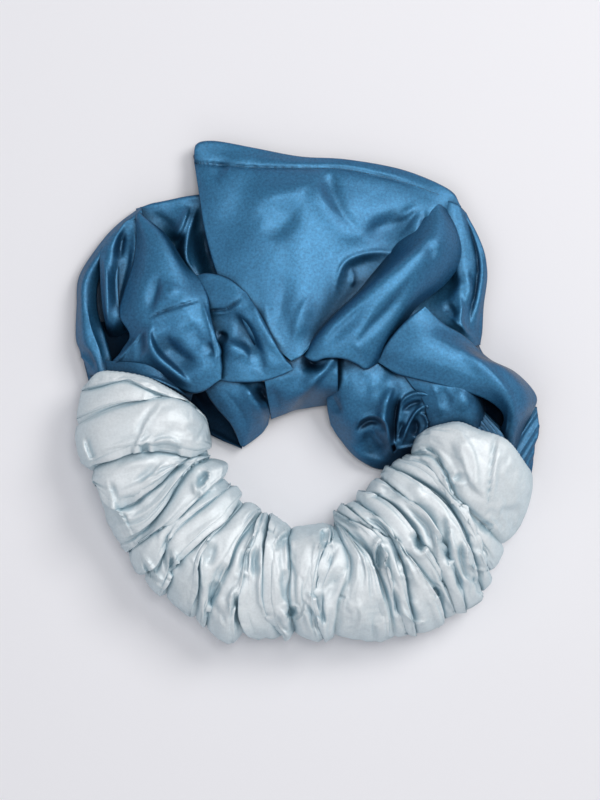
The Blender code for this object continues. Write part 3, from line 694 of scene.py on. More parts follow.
def drape(obj, weights, frames=14, shrink=0.0, pressure=0.0, gravity=0.0, self_dist=0.0, quality=6,
          bend=0.02, tension=25.0, floor=True, mass=0.12, cap=0.006, speed=1.0, pin=1.0):
    """Runs cloth on obj, holding each vertex by its weight, then applies the result with moves capped."""
    rest = np.empty(len(obj.data.vertices) * 3, np.float32)
    obj.data.vertices.foreach_get("co", rest)
    rest = rest.reshape(-1, 3)
    g = obj.vertex_groups.new(name="hold")
    levels = np.round(np.clip(weights, 0, 1), 2)
    for w in np.unique(levels):
        if w > 0:
            g.add(np.nonzero(levels == w)[0].tolist(), float(w), "REPLACE")
    mod = obj.modifiers.new("cloth", "CLOTH")
    c = mod.settings
    c.quality = quality
    c.mass = mass
    c.tension_stiffness = tension
    c.compression_stiffness = tension
    c.shear_stiffness = tension * 0.3
    c.bending_stiffness = bend
    c.tension_damping = c.compression_damping = 12
    c.shear_damping = 8
    c.bending_damping = 0.8
    c.air_damping = 4.0
    c.time_scale = speed
    c.shrink_min = c.shrink_max = shrink
    c.vertex_group_mass = "hold"
    c.pin_stiffness = pin
    if pressure:
        c.use_pressure = True
        c.uniform_pressure_force = pressure
    c.effector_weights.gravity = gravity
    col = mod.collision_settings
    col.use_collision = False
    if self_dist:
        col.use_self_collision = True
        col.self_distance_min = self_dist
        col.self_friction = 2.0
        col.collision_quality = 2
    mod.point_cache.frame_start, mod.point_cache.frame_end = 1, frames + 1
    sc = bpy.context.scene
    for f in range(1, frames + 1):
        sc.frame_set(f)
    dg = bpy.context.evaluated_depsgraph_get()
    ev = obj.evaluated_get(dg)
    got = np.empty(len(rest) * 3, np.float32)
    ev.data.vertices.foreach_get("co", got)
    got = got.reshape(-1, 3)
    obj.modifiers.remove(mod)
    obj.vertex_groups.remove(g)
    sc.frame_set(1)
    move = got - rest
    far = np.linalg.norm(move, axis=1, keepdims=True)
    move *= np.minimum(1.0, cap / np.maximum(far, 1e-9))
    new = rest + move
    if floor:
        new[:, 2] = np.maximum(new[:, 2], 0.0003)
    obj.data.vertices.foreach_set("co", new.astype(np.float32).ravel())
    obj.data.update()
    return float(far.max()), float(far.mean())


P = ice_surface()
ice = add_object("ice_casing_satin", grid_mesh("ice_casing_satin", P, close_v=True), ice_mat)
W = np.where(np.sin(THETA) < -0.3, 0.9, 0.04)[None, :] * np.ones(P.shape[:2])
W[:4] = 0.9
W[-4:] = 0.9
drape(ice, W.reshape(-1), frames=8, shrink=-0.035, bend=0.3, cap=0.0022)
got_ = np.empty(P.size, np.float32)
ice.data.vertices.foreach_get("co", got_)
P = got_.reshape(P.shape).astype(float)
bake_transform(ice)
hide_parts("ice_casing")

# The casing's two ends are turned in and drawn down to the joins.
for end_, ring_, deeper_ in (("left", P[0], P[9]), ("right", P[-1], P[-10])):
    mid_ = ring_.mean(0)
    way_ = (mid_ - deeper_.mean(0)) * [1, 1, 0]
    way_ = way_ / np.linalg.norm(way_)
    turned_ = []
    for t in np.linspace(0, 1, 16):
        ruck = 0.055 * t * np.sin(THETA * 17 + 2.0 * np.sin(THETA * 3))
        row_ = mid_ + (ring_ - mid_) * (1 - 0.62 * t ** 1.2 + ruck)[:, None]
        row_ = row_ + way_ * (0.0004 * math.sin(math.pi * min(1.0, t / 0.25)) - 0.005 * t ** 1.5)
        row_[:, 2] = np.maximum(row_[:, 2], 0.0003)
        turned_.append(row_)
    if end_ == "left":
        turned_ = turned_[::-1]
    turned_in = add_object("ice_turned_end_" + end_, grid_mesh("ice_turned_end_" + end_, np.stack(turned_), close_v=True), ice_mat)
    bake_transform(turned_in)
    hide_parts("ice_casing")

# Where one pleat lies over the next, a narrow lip of satin runs on past the crease and rolls under.
LIP_ROWS = np.arange(9, ICE_TOP - 9)
lips = []
for k in range(len(CREASES) - 1):
    lean = CREASES[k][2]
    if abs(lean) < 0.9 or k in (0, len(CREASES) - 2):
        continue
    step = 1 if lean > 0 else -1
    edge_col = PLEAT_AT[k + 1] if lean > 0 else PLEAT_AT[k]
    root, back = edge_col - 3 * step, edge_col - 7 * step
    if not (0 <= back < len(P) and 0 <= root < len(P)):
        continue
    a, b = P[root, LIP_ROWS], P[back, LIP_ROWS]
    d = a - b
    d[:, 2] *= 0.55
    d /= np.maximum(np.linalg.norm(d, axis=1, keepdims=True), 1e-9)
    along_ = np.gradient(a, axis=0)
    along_ /= np.maximum(np.linalg.norm(along_, axis=1, keepdims=True), 1e-9)
    n = np.cross(along_, d)
    n *= np.where(n[:, 2:] < 0, -1, 1)
    n /= np.maximum(np.linalg.norm(n, axis=1, keepdims=True), 1e-9)
    t = np.linspace(0, 1, len(LIP_ROWS))
    w = noise(np.stack([t * 30, np.full_like(t, k * 13.0), 0 * t], -1), 7.0, 71)
    reach_ = (0.0012 + 0.00025 * abs(lean)) * (1 + 0.45 * w) * smooth(np.minimum(t, 1 - t) / 0.22) * np.clip(0.55 + 0.9 * noise(np.stack([t * 30, np.full_like(t, k * 29.0), 0 * t], -1), 11.0, 72), 0.05, 1.2)
    rows_ = [b - n * 0.0004, (a + b) / 2 + n * 0.00002, a + n * 0.00022]
    for j in range(1, 5):
        rows_.append(a + d * (reach_ * j / 4)[:, None] + n * 0.00026)
    for j in range(1, 6):
        q_ = math.pi * j / 5
        rr_ = 0.00034 * (reach_ / 0.0012)[:, None]
        rows_.append(a + d * (reach_[:, None] + rr_ * math.sin(q_)) + n * (0.00026 - rr_ * (1 - math.cos(q_))))
    rows_.append(a - n * 0.0006)
    lips.append(add_object("ice_pleat_lips", grid_mesh("ice_pleat_lips", np.stack(rows_)), ice_mat))
bpy.ops.object.select_all(action="DESELECT")
for o in lips:
    o.select_set(True)
bpy.context.view_layer.objects.active = lips[0]
bpy.ops.object.join()
lip = lips[0]
lip.name = "ice_pleat_lips"
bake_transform(lip)
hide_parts("ice_casing")


def tube(points, radius, sides=8, closed=False):
    """Rings of a round cord through points (n, 3)."""
    p = np.asarray(points, float)
    t = np.gradient(p, axis=0)
    if closed:
        t = np.roll(p, -1, 0) - np.roll(p, 1, 0)
    t /= np.maximum(np.linalg.norm(t, axis=1, keepdims=True), 1e-12)
    up = np.tile([0.0, 0.0, 1.0], (len(p), 1))
    up[np.abs(t[:, 2]) > 0.9] = (1, 0, 0)
    side = np.cross(t, up)
    side /= np.maximum(np.linalg.norm(side, axis=1, keepdims=True), 1e-12)
    up = np.cross(side, t)
    a = np.linspace(0, 2 * math.pi, sides, endpoint=False)
    r = np.broadcast_to(np.asarray(radius, float), (len(p),))[:, None, None]
    return p[:, None] + r * (side[:, None] * np.cos(a)[None, :, None] + up[:, None] * np.sin(a)[None, :, None])


def cords(name, runs, radius, mat, sides=6):
    """One object made of many short cords with rounded ends."""
    verts, faces = [], []
    for run in runs:
        run = np.asarray(run, float)
        d0, d1 = run[0] - run[1], run[-1] - run[-2]
        run = np.concatenate([[run[0] + d0 / max(np.linalg.norm(d0), 1e-9) * radius * 0.6], run,
                              [run[-1] + d1 / max(np.linalg.norm(d1), 1e-9) * radius * 0.6]])
        rad = np.full(len(run), radius)
        rad[0] = rad[-1] = radius * 0.45
        R = tube(run, rad, sides)
        n0 = len(verts)
        m = len(run)
        verts.extend(R.reshape(-1, 3).tolist())
        for i in range(m - 1):
            for j in range(sides):
                k = (j + 1) % sides
                faces.append((n0 + i * sides + j, n0 + (i + 1) * sides + j, n0 + (i + 1) * sides + k, n0 + i * sides + k))
        faces.append(tuple(n0 + j for j in range(sides)))
        faces.append(tuple(n0 + (m - 1) * sides + j for j in reversed(range(sides))))
    me = bpy.data.meshes.new(name)
    me.from_pydata(verts, [], faces)
    for f in me.polygons:
        f.use_smooth = True
    uv = me.uv_layers.new(name="Cloth")
    me.update()
    return add_object(name, me, mat)


def running(path, stitch, space):
    """Cuts a path (n, 3) into running stitches of these lengths in metres."""
    path = np.asarray(path, float)
    s_ = np.concatenate([[0], np.cumsum(np.linalg.norm(np.diff(path, axis=0), axis=1))])
    out = []
    at = 0.0
    while at + stitch < s_[-1]:
        q = np.linspace(at, at + stitch, 4)
        out.append(np.stack([np.interp(q, s_, path[:, i]) for i in range(3)], -1))
        at += stitch + space
    return out


# the tube's lengthwise seam: its thread lies on the inner side of the top skin, towards the outside of the ring
low = int(np.argmin(np.abs(THETA - math.radians(180 - 66))))
line = P[6:-6, low].copy()
line[:, 2] = np.maximum(line[:, 2] - 0.0011, 0.00015)
ice_thread = thread("ice_thread", (0.62, 0.74, 0.79))
ice_seam = cords("ice_lengthwise_stitches", running(line, 0.0024, 0.0007), 0.00018, ice_thread)
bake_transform(ice_seam)
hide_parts("ice_casing_seam")

# ------------------------------------------------------------------ blue casing
# The blue satin is one wide tube that has fallen into folds. Each sheet below is one
# stretch of it between two folds: a net of control points (grid u, grid v, height in
# mm), the edges where it turns under, and the ridges and hollows that run over it.
SHEETS = []
GRIDS = {}


def sheet(name, rows, nu, nv, folds=(), edges=(), crumples=(), fans=(), pits=()):
    G = net(rows, int(nu * 1.25), int(nv * 1.25))
    for f in folds:
        fold(G, *f)
    for f in pits:
        pit(G, *f)
    for f in fans:
        fan(G, *f)
    for c in crumples:
        crumple(G, *c)
    P = seat(G)
    made = {"u0": 0, "u1": 0, "v0": 0, "v1": 0}
    for e in edges:
        across = "v" if e[0][0] == "u" else "u"
        P = turn(P, *e, skip=(made[across + "0"], made[across + "1"]))
        made[e[0]] += 11
    P[..., 2] = np.maximum(P[..., 2], 0.0006)
    SHEETS.append((name, P))
    GRIDS[name] = G


# the wide double panel, fanning out from the pinch at its foot
sheet("panel", [
    [(292, 361, 20), (262, 336, 18), (236, 308, 17), (219, 275, 14), (206, 230, 11), (200, 195, 9), (194.5, 162, 7)],
    [(293, 360, 20), (270, 320, 18.3), (246, 272, 16.5), (225, 222, 12.5), (210, 185, 10), (203, 165, 8.5), (197, 147, 7.5)],
    [(294, 360, 20), (280, 312, 18.8), (262, 258, 17), (242, 208, 13), (230, 178, 10), (223, 160, 8), (215, 143, 6.5)],
    [(296, 359, 20), (292, 308, 19.5), (283, 250, 17.5), (272, 200, 13.5), (265, 175, 10), (261, 162, 7.5), (257, 150, 5.5)],
    [(298, 358, 20), (305, 306, 19), (305, 250, 17.8), (303, 200, 13.5), (302, 178, 10), (301, 167, 7.5), (301, 158, 5)],
    [(300, 357, 20), (318, 308, 17.5), (330, 262, 16), (338, 210, 13.8), (342, 183, 10), (343, 171, 7.5), (345, 161, 5)],
    [(302, 355, 20), (328, 315, 15.5), (356, 272, 12), (378, 226, 11.5), (390, 195, 9.5), (396, 182, 7.5), (401, 171, 5)],
    [(304, 353, 20), (336, 315, 14.5), (372, 278, 10.5), (412, 240, 11.5), (430, 212, 10), (438, 200, 7.8), (446, 190, 5.5)],
    [(305, 352, 19.5), (340, 314, 15.5), (380, 276, 13.5), (424, 246, 13), (447, 226, 7.4), (454, 217, 5.4), (461, 207, 4.4)],
], 118, 84, [
    ([(193, 163), (212, 164), (250, 167), (300, 168), (345, 169), (400, 181), (448, 198)], -1.3, 1.6, "sharp", (0, 0.1)),
    ([(205, 155), (240, 158), (300, 163), (350, 165), (400, 176), (444, 193)], 0.9, 5, "soft", (0.1, 0.1)),
    ([(233, 160), (222, 168), (214, 185)], -0.9, 4, "soft"),
    ([(330, 168), (300, 186), (262, 200), (246, 225)], 1.2, 9, "soft"),
    ([(300, 200), (283, 225), (262, 240)], -1.3, 9, "soft"),
    ([(332, 165), (333, 190), (345, 220), (362, 236)], -1.4, 6, "soft", (0.05, 0.3)),
    ([(318, 165), (320, 195), (345, 225), (364, 240)], 1.2, 6, "soft", (0.05, 0.2)),
    ([(334, 298), (339, 272), (349, 259), (374, 252), (408, 254)], 1.2, 3.0, "sharp", (0.1, 0.2)),
    ([(346, 286), (351, 270), (366, 262), (384, 262)], -0.9, 5.0, "soft"),
    ([(349, 266), (353, 276), (352, 288)], 0.9, 2.2, "sharp", (0.2, 0.2)),
    ([(362, 238), (388, 225), (415, 222)], -2.2, 9, "soft"),
    ([(275, 330), (283, 300), (286, 270)], -0.8, 5, "soft"),
    ([(296, 345), (300, 318), (312, 290)], 1.0, 5, "soft"),
    ([(262, 300), (270, 330), (286, 352)], 0.9, 4, "soft"),
], [("v1", 0.9, 7, 1.5), ("u0", 0.7, 6, 1.0)], [(52, 1.1, 1, (1, 1.6), 0.5), (17, 0.16, 2, (1, 1.8), 0.9)],
   [((292, 362), 210, 290, 6, 110, 0.28, 5.0, 3), ((424, 201), 60, 150, 5, 60, 0.9, 3.0, 4)])

# the soft roll that lies across the panel's right half
sheet("roll", [
    [(301, 353, 17), (306, 356, 20), (315, 358, 21.5), (327, 355, 22.5), (345, 356, 22.5), (357, 361, 21.5), (368, 367, 20), (378, 363, 17)],
    [(312, 338, 16.0), (318, 334, 20), (326, 332, 22.5), (337, 333, 23.8), (352, 336, 24), (366, 340, 23), (380, 344, 20.5), (388, 347, 16.5)],
    [(333, 315, 14.5), (339, 311, 19), (348, 308, 22), (358, 307, 23.8), (371, 310, 24), (384, 315, 22.5), (395, 322, 20), (402, 325, 16)],
    [(356, 294, 12.5), (363, 289, 18), (372, 285, 21.5), (382, 283, 23.2), (394, 285, 23.2), (406, 290, 21.5), (414, 298, 18.5), (420, 303, 13.5)],
    [(374, 272, 10.0), (384, 267, 15.5), (395, 263, 19.0), (405, 261, 20.8), (416, 262, 20.6), (427, 267, 18.4), (437, 275, 14.4), (445, 284, 9)],
    [(394, 246, 10.0), (404, 244, 12.6), (416, 242, 15.4), (426, 241, 17.2), (436, 242, 17.0), (446, 246, 14.6), (455, 252, 11), (463, 258, 7)],
    [(413, 227, 9.2), (421, 224, 10.8), (429, 222, 12.0), (437, 221, 12.6), (444, 222, 12.0), (450, 225, 10.6), (456, 230, 8.8), (462, 237, 6.4)],
    [(430, 205, 7.6), (432, 204, 8.0), (434.5, 203.5, 8.2), (437, 203.5, 8.2), (439.5, 204, 8.0), (442, 205, 7.6), (444.5, 206.5, 7.0), (447, 209, 6.0)],
], 72, 48, [
    ([(320, 350), (345, 325), (372, 300)], -1.2, 5, "soft"),
    ([(352, 352), (368, 330), (392, 304), (418, 270)], -1.0, 4, "soft"),
    ([(366, 362), (360, 350), (352, 340)], 0.8, 3, "sharp"),
    ([(425, 238), (432, 250), (430, 262)], -0.8, 4, "soft"),
], [("u0", 1.1, 6, 2.0), ("v0", 1.2, 4, 1.0, (0, 0.5)), ("v1", 1.2, 4, 1.0, (0, 0.55))], [(30, 0.35, 5, (2.2, 1), -0.8)])

# right-hand edge of the flap, with its rolled seam
sheet("right_edge", [
    [(436, 200, 5), (448, 201, 6.5), (458, 205, 6.5), (466, 213, 5)],
    [(434, 232, 7), (450, 232, 8), (464, 232, 8), (475, 233, 5.5)],
    [(422, 262, 8), (443, 264, 6.5), (463, 262, 8), (483, 258, 5.5)],
    [(410, 292, 8), (436, 288, 5.5), (459, 287, 9), (486, 277, 5)],
    [(406, 318, 9), (438, 310, 9), (460, 308, 10.5), (483, 303, 5)],
    [(420, 343, 10), (445, 332, 10.5), (462, 327, 11), (481, 328, 5.5)],
    [(445, 362, 10), (462, 352, 10.5), (472, 348, 9.5), (480, 345, 6)],
], 70, 40, [
    ([(462, 209), (471, 232), (478, 262), (476, 290), (470, 315), (469, 333)], -2.2, 1.8, "sharp", (0.05, 0.05)),
    ([(466, 212), (475, 236), (482, 265), (481, 290), (476, 318), (475, 338)], 1.6, 3.0, "soft", (0.05, 0.05)),
    ([(456, 225), (452, 245), (449, 262)], 1.6, 3, "sharp"),
    ([(438, 268), (450, 280), (462, 283)], -3.0, 8, "soft"),
    ([(459, 290), (461, 306), (461, 321), (466, 332), (477, 341)], 1.8, 2.4, "sharp"),
    ([(466, 268), (470, 290), (467, 306)], 1.2, 3, "soft"),
    ([(445, 300), (452, 312), (452, 326)], -1.4, 4, "soft"),
    ([(438, 305), (450, 316), (470, 334)], 1.0, 2.5, "sharp"),
], [("v1", 0.9, 5, 1.0)], [(14, 0.5, 8, (1, 2.5), 0.2)])

# three-cornered flap folded over the right shoulder
sheet("shoulder_flap", [
    [(378, 362, 17.5), (389, 344, 20), (404, 326, 20.8), (425, 307, 20)],
    [(398, 372, 19.5), (412, 354, 22.3), (425, 336, 22.0), (441, 324, 18.0)],
    [(420, 378, 20), (434, 362, 22.8), (448, 346, 21.8), (463, 337, 16)],
    [(444, 384, 20), (460, 370, 22.8), (474, 357, 21), (489, 359, 14)],
    [(468, 391, 19.5), (484, 380, 22), (500, 368, 19.5), (513, 371, 12.5)],
    [(488, 399, 18), (503, 392, 20.5), (518, 385, 18), (530, 387, 11)],
    [(501, 409, 16), (513, 406, 18.5), (525, 402, 16), (536, 400, 9.5)],
    [(505, 419, 14), (514, 420, 16), (523, 416, 14), (531, 413, 9)],
    [(501, 431, 12), (510, 434, 14), (517, 431, 12.5), (523, 428, 8)],
    [(495, 446, 10.5), (505, 451, 12), (511, 451, 11.5), (516, 449, 8)],
], 84, 40, [
    ([(452, 338), (474, 356), (496, 378), (510, 400), (513, 424), (511, 446)], 1.3, 4.5, "soft", (0.2, 0.1)),
    ([(450, 352), (466, 368), (482, 386)], -0.5, 8, "soft"),
    ([(508, 405), (507, 425), (503, 440)], 0.8, 2.5, "sharp"),
    ([(514, 412), (514, 426), (510, 438)], -0.6, 2.6, "soft"),
], [("v0", 0.9, 4.5, 2.5), ("v1", 1.0, 5, 2.5), ("u0", 0.8, 5, 1.0)], [(40, 0.35, 11, (2.0, 1), 0.8)])

# what shows inside the shoulder's open end
sheet("shoulder_lining", [
    [(396, 364, 17.5), (410, 384, 17.4), (424, 404, 16), (430, 440, 13)],
    [(420, 368, 18.5), (430, 386, 18.8), (437, 404, 17.8), (440, 440, 15.5)],
    [(444, 374, 19.0), (453, 390, 19.6), (458, 408, 19.2), (458, 440, 16.5)],
    [(462, 380, 19.0), (469, 396, 19.0), (473, 412, 18.4), (474, 440, 16)],
    [(472, 384, 16.5), (479, 400, 15.5), (483, 416, 14), (486, 440, 9)],
    [(477, 386, 9), (485, 402, 7), (489, 418, 6), (492, 440, 5)],
    [(490, 388, 3), (500, 404, 2.4), (506, 420, 2.2), (506, 440, 2.2)],
    [(512, 390, 3), (519, 410, 2.4), (522, 424, 2.2), (521, 446, 2.2)],
], 70, 40, [
    ([(428, 382), (436, 392), (440, 406), (440, 420)], 0.9, 3.2, "sharp", (0.2, 0.3)),
    ([(436, 386), (446, 396), (450, 412)], -0.7, 4, "soft"),
    ([(452, 388), (463, 398), (470, 412)], 1.0, 5, "soft"),
], [])

# the tube's inside, beside the right lining and in the left hole by the cuff: sheets in the darker reverse satin,
# painted shade
sheet("right_hole", [
    [(477, 382, 12), (490, 384, 7.5), (504, 388, 6), (516, 394, 5.5)],
    [(481, 400, 10), (491, 402, 6), (502, 406, 5), (515, 410, 5)],
    [(486, 424, 8), (495, 426, 5), (505, 430, 4.6), (514, 434, 4.6)],
    [(490, 444, 7), (498, 445, 4.6), (506, 446, 4.2), (513, 447, 4.2)],
], 20, 16)
sheet("left_hole", [
    [(94, 322, 5), (106, 322, 3.4), (120, 322, 3.4), (138, 324, 6)],
    [(98, 342, 5), (108, 342, 3), (120, 342, 3), (138, 344, 6)],
    [(104, 364, 5), (112, 364, 3.4), (122, 362, 3.4), (136, 362, 7)],
    [(108, 382, 5), (114, 382, 4), (122, 380, 4), (134, 380, 7)],
], 20, 16)

# stacked pleats at the far right
sheet("stacked_pleats", [
    [(522, 408, 3.2), (530, 405, 3), (536.5, 407, 2.8)],
    [(517, 428, 5.2), (529, 425, 4.4), (538, 430, 3.4)],
    [(512, 446, 7), (523, 445, 5), (534, 445, 3)],
    [(513, 464, 6.5), (523, 464, 4.8), (532, 463, 3)],
    [(516, 484, 5), (525, 483, 4), (530, 481, 2.5)],
], 48, 26, [
    ([(538, 412), (527, 427), (515, 446)], 1.1, 6, "left", (0, 0)),
    ([(539, 424), (530, 438), (518, 457)], 1.1, 6, "left", (0, 0)),
    ([(537, 437), (530, 449), (521, 466)], 1.1, 6, "left", (0, 0)),
    ([(535, 450), (530, 460), (524, 477)], 1.0, 5, "left", (0, 0)),
], [("v1", 0.7, 4, 0.6)])

# right lower lobe, beside the hair opening
sheet("right_lobe", [
    [(336, 350, 15), (332, 371, 14), (328, 393, 11.5), (328.5, 410, 9), (331, 425, 6)],
    [(345, 350, 17), (345, 372, 17.5), (344, 395, 16), (343, 418, 12.5), (341, 439, 5)],
    [(358, 355, 17.5), (360, 376, 18.5), (360, 398, 18), (357, 428, 13), (355, 455, 4.5)],
    [(372, 361, 17), (376, 382, 18.5), (375, 402, 19), (373, 434, 11), (374, 466, 4)],
    [(386, 364, 16), (391, 386, 19), (386, 408, 19), (388, 440, 13), (391, 468.5, 4)],
    [(400, 368, 17), (404, 392, 17.2), (402, 412, 15.5), (400, 440, 13), (402, 471, 4)],
    [(414, 374, 17.2), (418, 394, 16.6), (418, 414, 14.5), (416, 440, 12), (412, 472, 4)],
    [(428, 378, 17.2), (433, 398, 16.6), (437, 414, 14), (436, 438, 11.5), (432, 470, 5)],
], 110, 74, [
    ([(352, 433), (358, 422), (367, 416), (378, 416), (386, 423), (389, 434), (391, 446)], 1.8, 2.4, "sharp", (0.1, 0.1)),
    ([(356, 434), (361, 425), (369, 420), (378, 421), (384, 428), (387, 440)], -3.0, 2.4, "soft", (0.2, 0.1)),
    ([(366, 428), (372, 437), (381, 447), (389, 452)], -1.6, 6.0, "soft", (0.3, 0.3)),
    ([(368, 426), (374, 436), (384, 448)], 0.8, 2.4, "soft", (0.3, 0.2)),
    ([(394, 384), (387, 402), (384, 418), (388, 436), (393, 449)], 2.4, 3.2, "soft", (0.1, 0.05)),
    ([(400, 394), (396, 410), (394, 428), (395, 446)], -3.4, 2.4, "soft", (0.1, 0.05)),
    ([(398, 408), (405, 398), (417, 393), (431, 396), (436, 401)], 1.8, 1.6, "sharp", (0.1, 0.1)),
    ([(401, 412), (411, 404), (424, 401)], -1.6, 1.9, "soft", (0.2, 0.3)),
    ([(401, 446), (407, 428), (416, 412), (429, 403)], 2.0, 1.6, "sharp", (0.1, 0.1)),
    ([(405, 420), (400, 430), (398, 442)], -1.6, 2.2, "soft", (0.2, 0.1)),
    ([(417, 412), (425, 416), (428, 426), (422, 436)], 1.9, 1.5, "sharp", (0.1, 0.2)),
    ([(413, 418), (417, 426), (414, 438)], -1.7, 2.4, "soft", (0.2, 0.2)),
    ([(424, 402), (430, 410), (436, 420)], 1.8, 1.4, "sharp", (0.1, 0.0)),
    ([(420, 432), (421, 440), (424, 448)], 1.8, 1.6, "sharp", (0.1, 0.0)),
    ([(394, 449), (408, 447), (421, 445)], 1.3, 1.6, "sharp", (0.1, 0.0)),
    ([(330, 395), (336, 402), (342, 416)], -1.0, 3, "soft"),
    ([(344, 440), (362, 456), (392, 463)], 0.9, 4, "soft"),
    ([(340, 360), (342, 380), (338, 400)], 0.8, 4, "soft"),
    ([(352, 366), (364, 384), (366, 404)], -0.7, 6, "soft"),
], [("u0", 0.9, 6, 3.0), ("v1", 1.1, 7, 0.5)], [(26, 0.35, 14, (1, 2.0), 0.3), (9, 0.18, 15, (1, 1.6), 0.5)], (),
   [([(391, 446), (395, 444), (397, 449), (393, 452)], 3.0, 2.0, 0.3)])

# centre band behind the hair opening
sheet("centre_band", [
    [(262, 366, 19), (265, 384, 18.5), (268, 402, 14), (271, 419, 6)],
    [(278, 362, 19), (283, 381, 19), (287, 397, 15.5), (290, 411, 6)],
    [(295, 354, 18), (300, 375, 19), (304, 391, 16), (308, 407, 5.5)],
    [(312, 352, 18), (316, 373, 19.5), (319, 389, 16.5), (322, 405, 5.5)],
    [(338, 352, 18.5), (338, 374, 19), (338, 390, 15.5), (338, 404, 5)],
], 50, 40, [
    ([(332, 360), (315, 380), (298, 399), (288, 411)], 2.2, 4.2, "soft", (0.0, 0.0)),
    ([(322, 358), (308, 366), (300, 374)], -1.6, 5, "soft"),
    ([(304, 354), (309, 361), (318, 366), (331, 360)], -1.8, 3, "soft"),
    ([(268, 384), (276, 398), (279, 412)], -1.0, 4, "soft"),
], [("v1", 1.2, 6, 3.0)], [(16, 0.4, 17, (1.6, 1), 0.8)])

# lower loop on the left: its front face, and the tongue under its open mouth, which is in the darker reverse satin as
# painted shade
sheet("lower_loop", [
    [(203, 386, 15), (218, 407, 13.5), (233, 425, 10.5), (241, 446, 3.5)],
    [(218, 378, 17), (232, 400, 17), (243, 420, 13), (245, 444.5, 4)],
    [(234, 374, 17.5), (247, 394, 18), (254, 414, 14), (252, 440, 4)],
    [(250, 374, 17), (259, 394, 15.5), (264, 412, 12.5), (262, 432, 5)],
    [(266, 374, 14), (269, 392, 12.5), (270.5, 408, 10), (268, 424, 6)],
], 52, 44, [
    ([(239, 382), (252, 396), (261, 412), (262, 426)], 2.0, 4.0, "soft"),
    ([(256, 384), (262, 394), (266, 404)], -2.6, 4, "soft"),
    ([(222, 388), (236, 404), (246, 424), (243, 440)], -0.9, 3.5, "soft"),
], [("u0", 0.9, 6, 1.0), ("v1", 1.0, 5, 0.5)], [(14, 0.45, 20, (1, 2.0), -0.6)])

sheet("loop_back", [
    [(188, 394, 9), (196, 410, 5), (205, 428, 3.4), (222, 438.5, 3.2), (242, 448.5, 3.6)],
    [(194, 392, 7), (204, 409, 3), (211, 424, 2.0), (226, 434, 1.8), (242, 445, 2.6)],
    [(204, 386, 12), (216, 402, 5), (227, 416, 2.6), (236, 430, 2.4), (243, 443, 3)],
    [(222, 376, 12), (240, 390, 8), (250, 406, 5), (252, 420, 4), (250, 438, 3)],
], 26, 30, [], [("u0", 0.6, 3, 0)])

# left lobe and the pouch it folds into
sheet("left_lobe", [
    [(136, 216, 8), (137, 214, 8.5), (139, 213, 8.8), (141, 214, 8.5), (143, 216, 8)],
    [(137, 240, 9), (145, 236, 12), (153, 234, 13), (160, 233, 12.5), (166, 235, 10)],
    [(134, 264, 10.5), (147, 260, 14.5), (160, 257, 16), (173, 257, 15.5), (185, 264, 12)],
    [(126, 290, 12), (143, 286, 16), (160, 283, 18), (180, 282, 18), (199, 280, 14.5)],
    [(121, 314, 12.5), (140, 309, 17), (160, 306, 19), (182, 300, 20), (206, 299, 17.5)],
    [(131, 334, 13.5), (148, 329, 19.0), (168, 327, 20.5), (190, 326, 21), (211, 329, 20)],
    [(124, 348, 13), (144, 345, 19), (168, 348, 19.8), (192, 350, 20.5), (217, 350, 20.5)],
    [(117, 359, 12.5), (142, 360, 18), (168, 366, 19.5), (194, 372, 20.5), (219, 364, 20.5)],
    [(110, 371, 10), (140, 374, 14.5), (166, 381, 17), (194, 391, 18), (221, 379, 19.5)],
], 100, 60, [
    ([(147, 322), (153, 316), (162, 312), (182, 305), (202, 299)], -1.0, 0.9, "sharp", (0.1, 0.1)),
    ([(147, 325), (153, 319), (162, 315), (182, 308), (203, 302)], 0.8, 1.4, "sharp", (0.2, 0.1)),
    ([(154, 322), (149, 336), (156, 354), (173, 370), (194, 387)], 2.8, 3.4, "soft", (0.05, 0.05)),
    ([(145, 326), (136, 340), (124, 354), (112, 368)], 1.4, 2.0, "sharp", (0.05, 0.05)),
    ([(164, 330), (168, 344), (182, 358), (204, 368)], -2.8, 8.0, "soft"),
    ([(190, 318), (196, 336), (206, 352)], -1.0, 6, "soft"),
    ([(160, 272), (156, 290), (149, 316)], -1.6, 4, "soft"),
    ([(200, 296), (208, 320), (214, 345), (217, 370)], 1.4, 2.6, "sharp", (0.05, 0.05)),
    ([(139, 326), (142, 345), (137, 362)], -1.4, 3.0, "soft"),
    ([(180, 285), (170, 292), (160, 300)], 0.8, 5, "soft"),
    ([(205, 340), (212, 350), (216, 358)], -1.2, 3, "soft"),
], [("v1", 1.0, 8, 2.0), ("u1", 1.0, 6, 3.0), ("v0", 1.0, 5, 2.0)], [(28, 0.4, 23, (1, 2.2), -0.4)])
sheet("left_second_fold", [
    [(118, 229, 6), (124, 223, 7), (130, 219, 7), (136, 217, 6.5)],
    [(103, 250, 7), (113, 246, 8.5), (124, 243, 6.5), (139, 243, 8)],
    [(101, 275, 9), (108, 275, 11), (120, 270, 8), (139, 266, 9)],
    [(103, 305, 10), (109, 305, 12), (118, 300, 10.5), (134, 295, 10.5)],
    [(106, 322, 9), (112, 324, 10.5), (120, 320, 11), (134, 313, 11)],
    [(109, 336, 3), (115, 337, 3), (123, 334, 4), (134, 328, 7)],
], 70, 28, [
    ([(124, 228), (121, 246), (120, 262)], -1.8, 3.5, "soft"),
    ([(103, 254), (106, 274), (107, 306), (110, 336)], 1.6, 2.4, "sharp", (0.1, 0.1)),
    ([(130, 240), (128, 262), (121, 290), (116, 318)], -1.2, 3, "soft"),
    ([(133, 226), (135, 246), (131, 268)], 1.0, 2.2, "sharp"),
], [("v0", 0.8, 6, 3.0), ("u1", 0.6, 3, 1)])
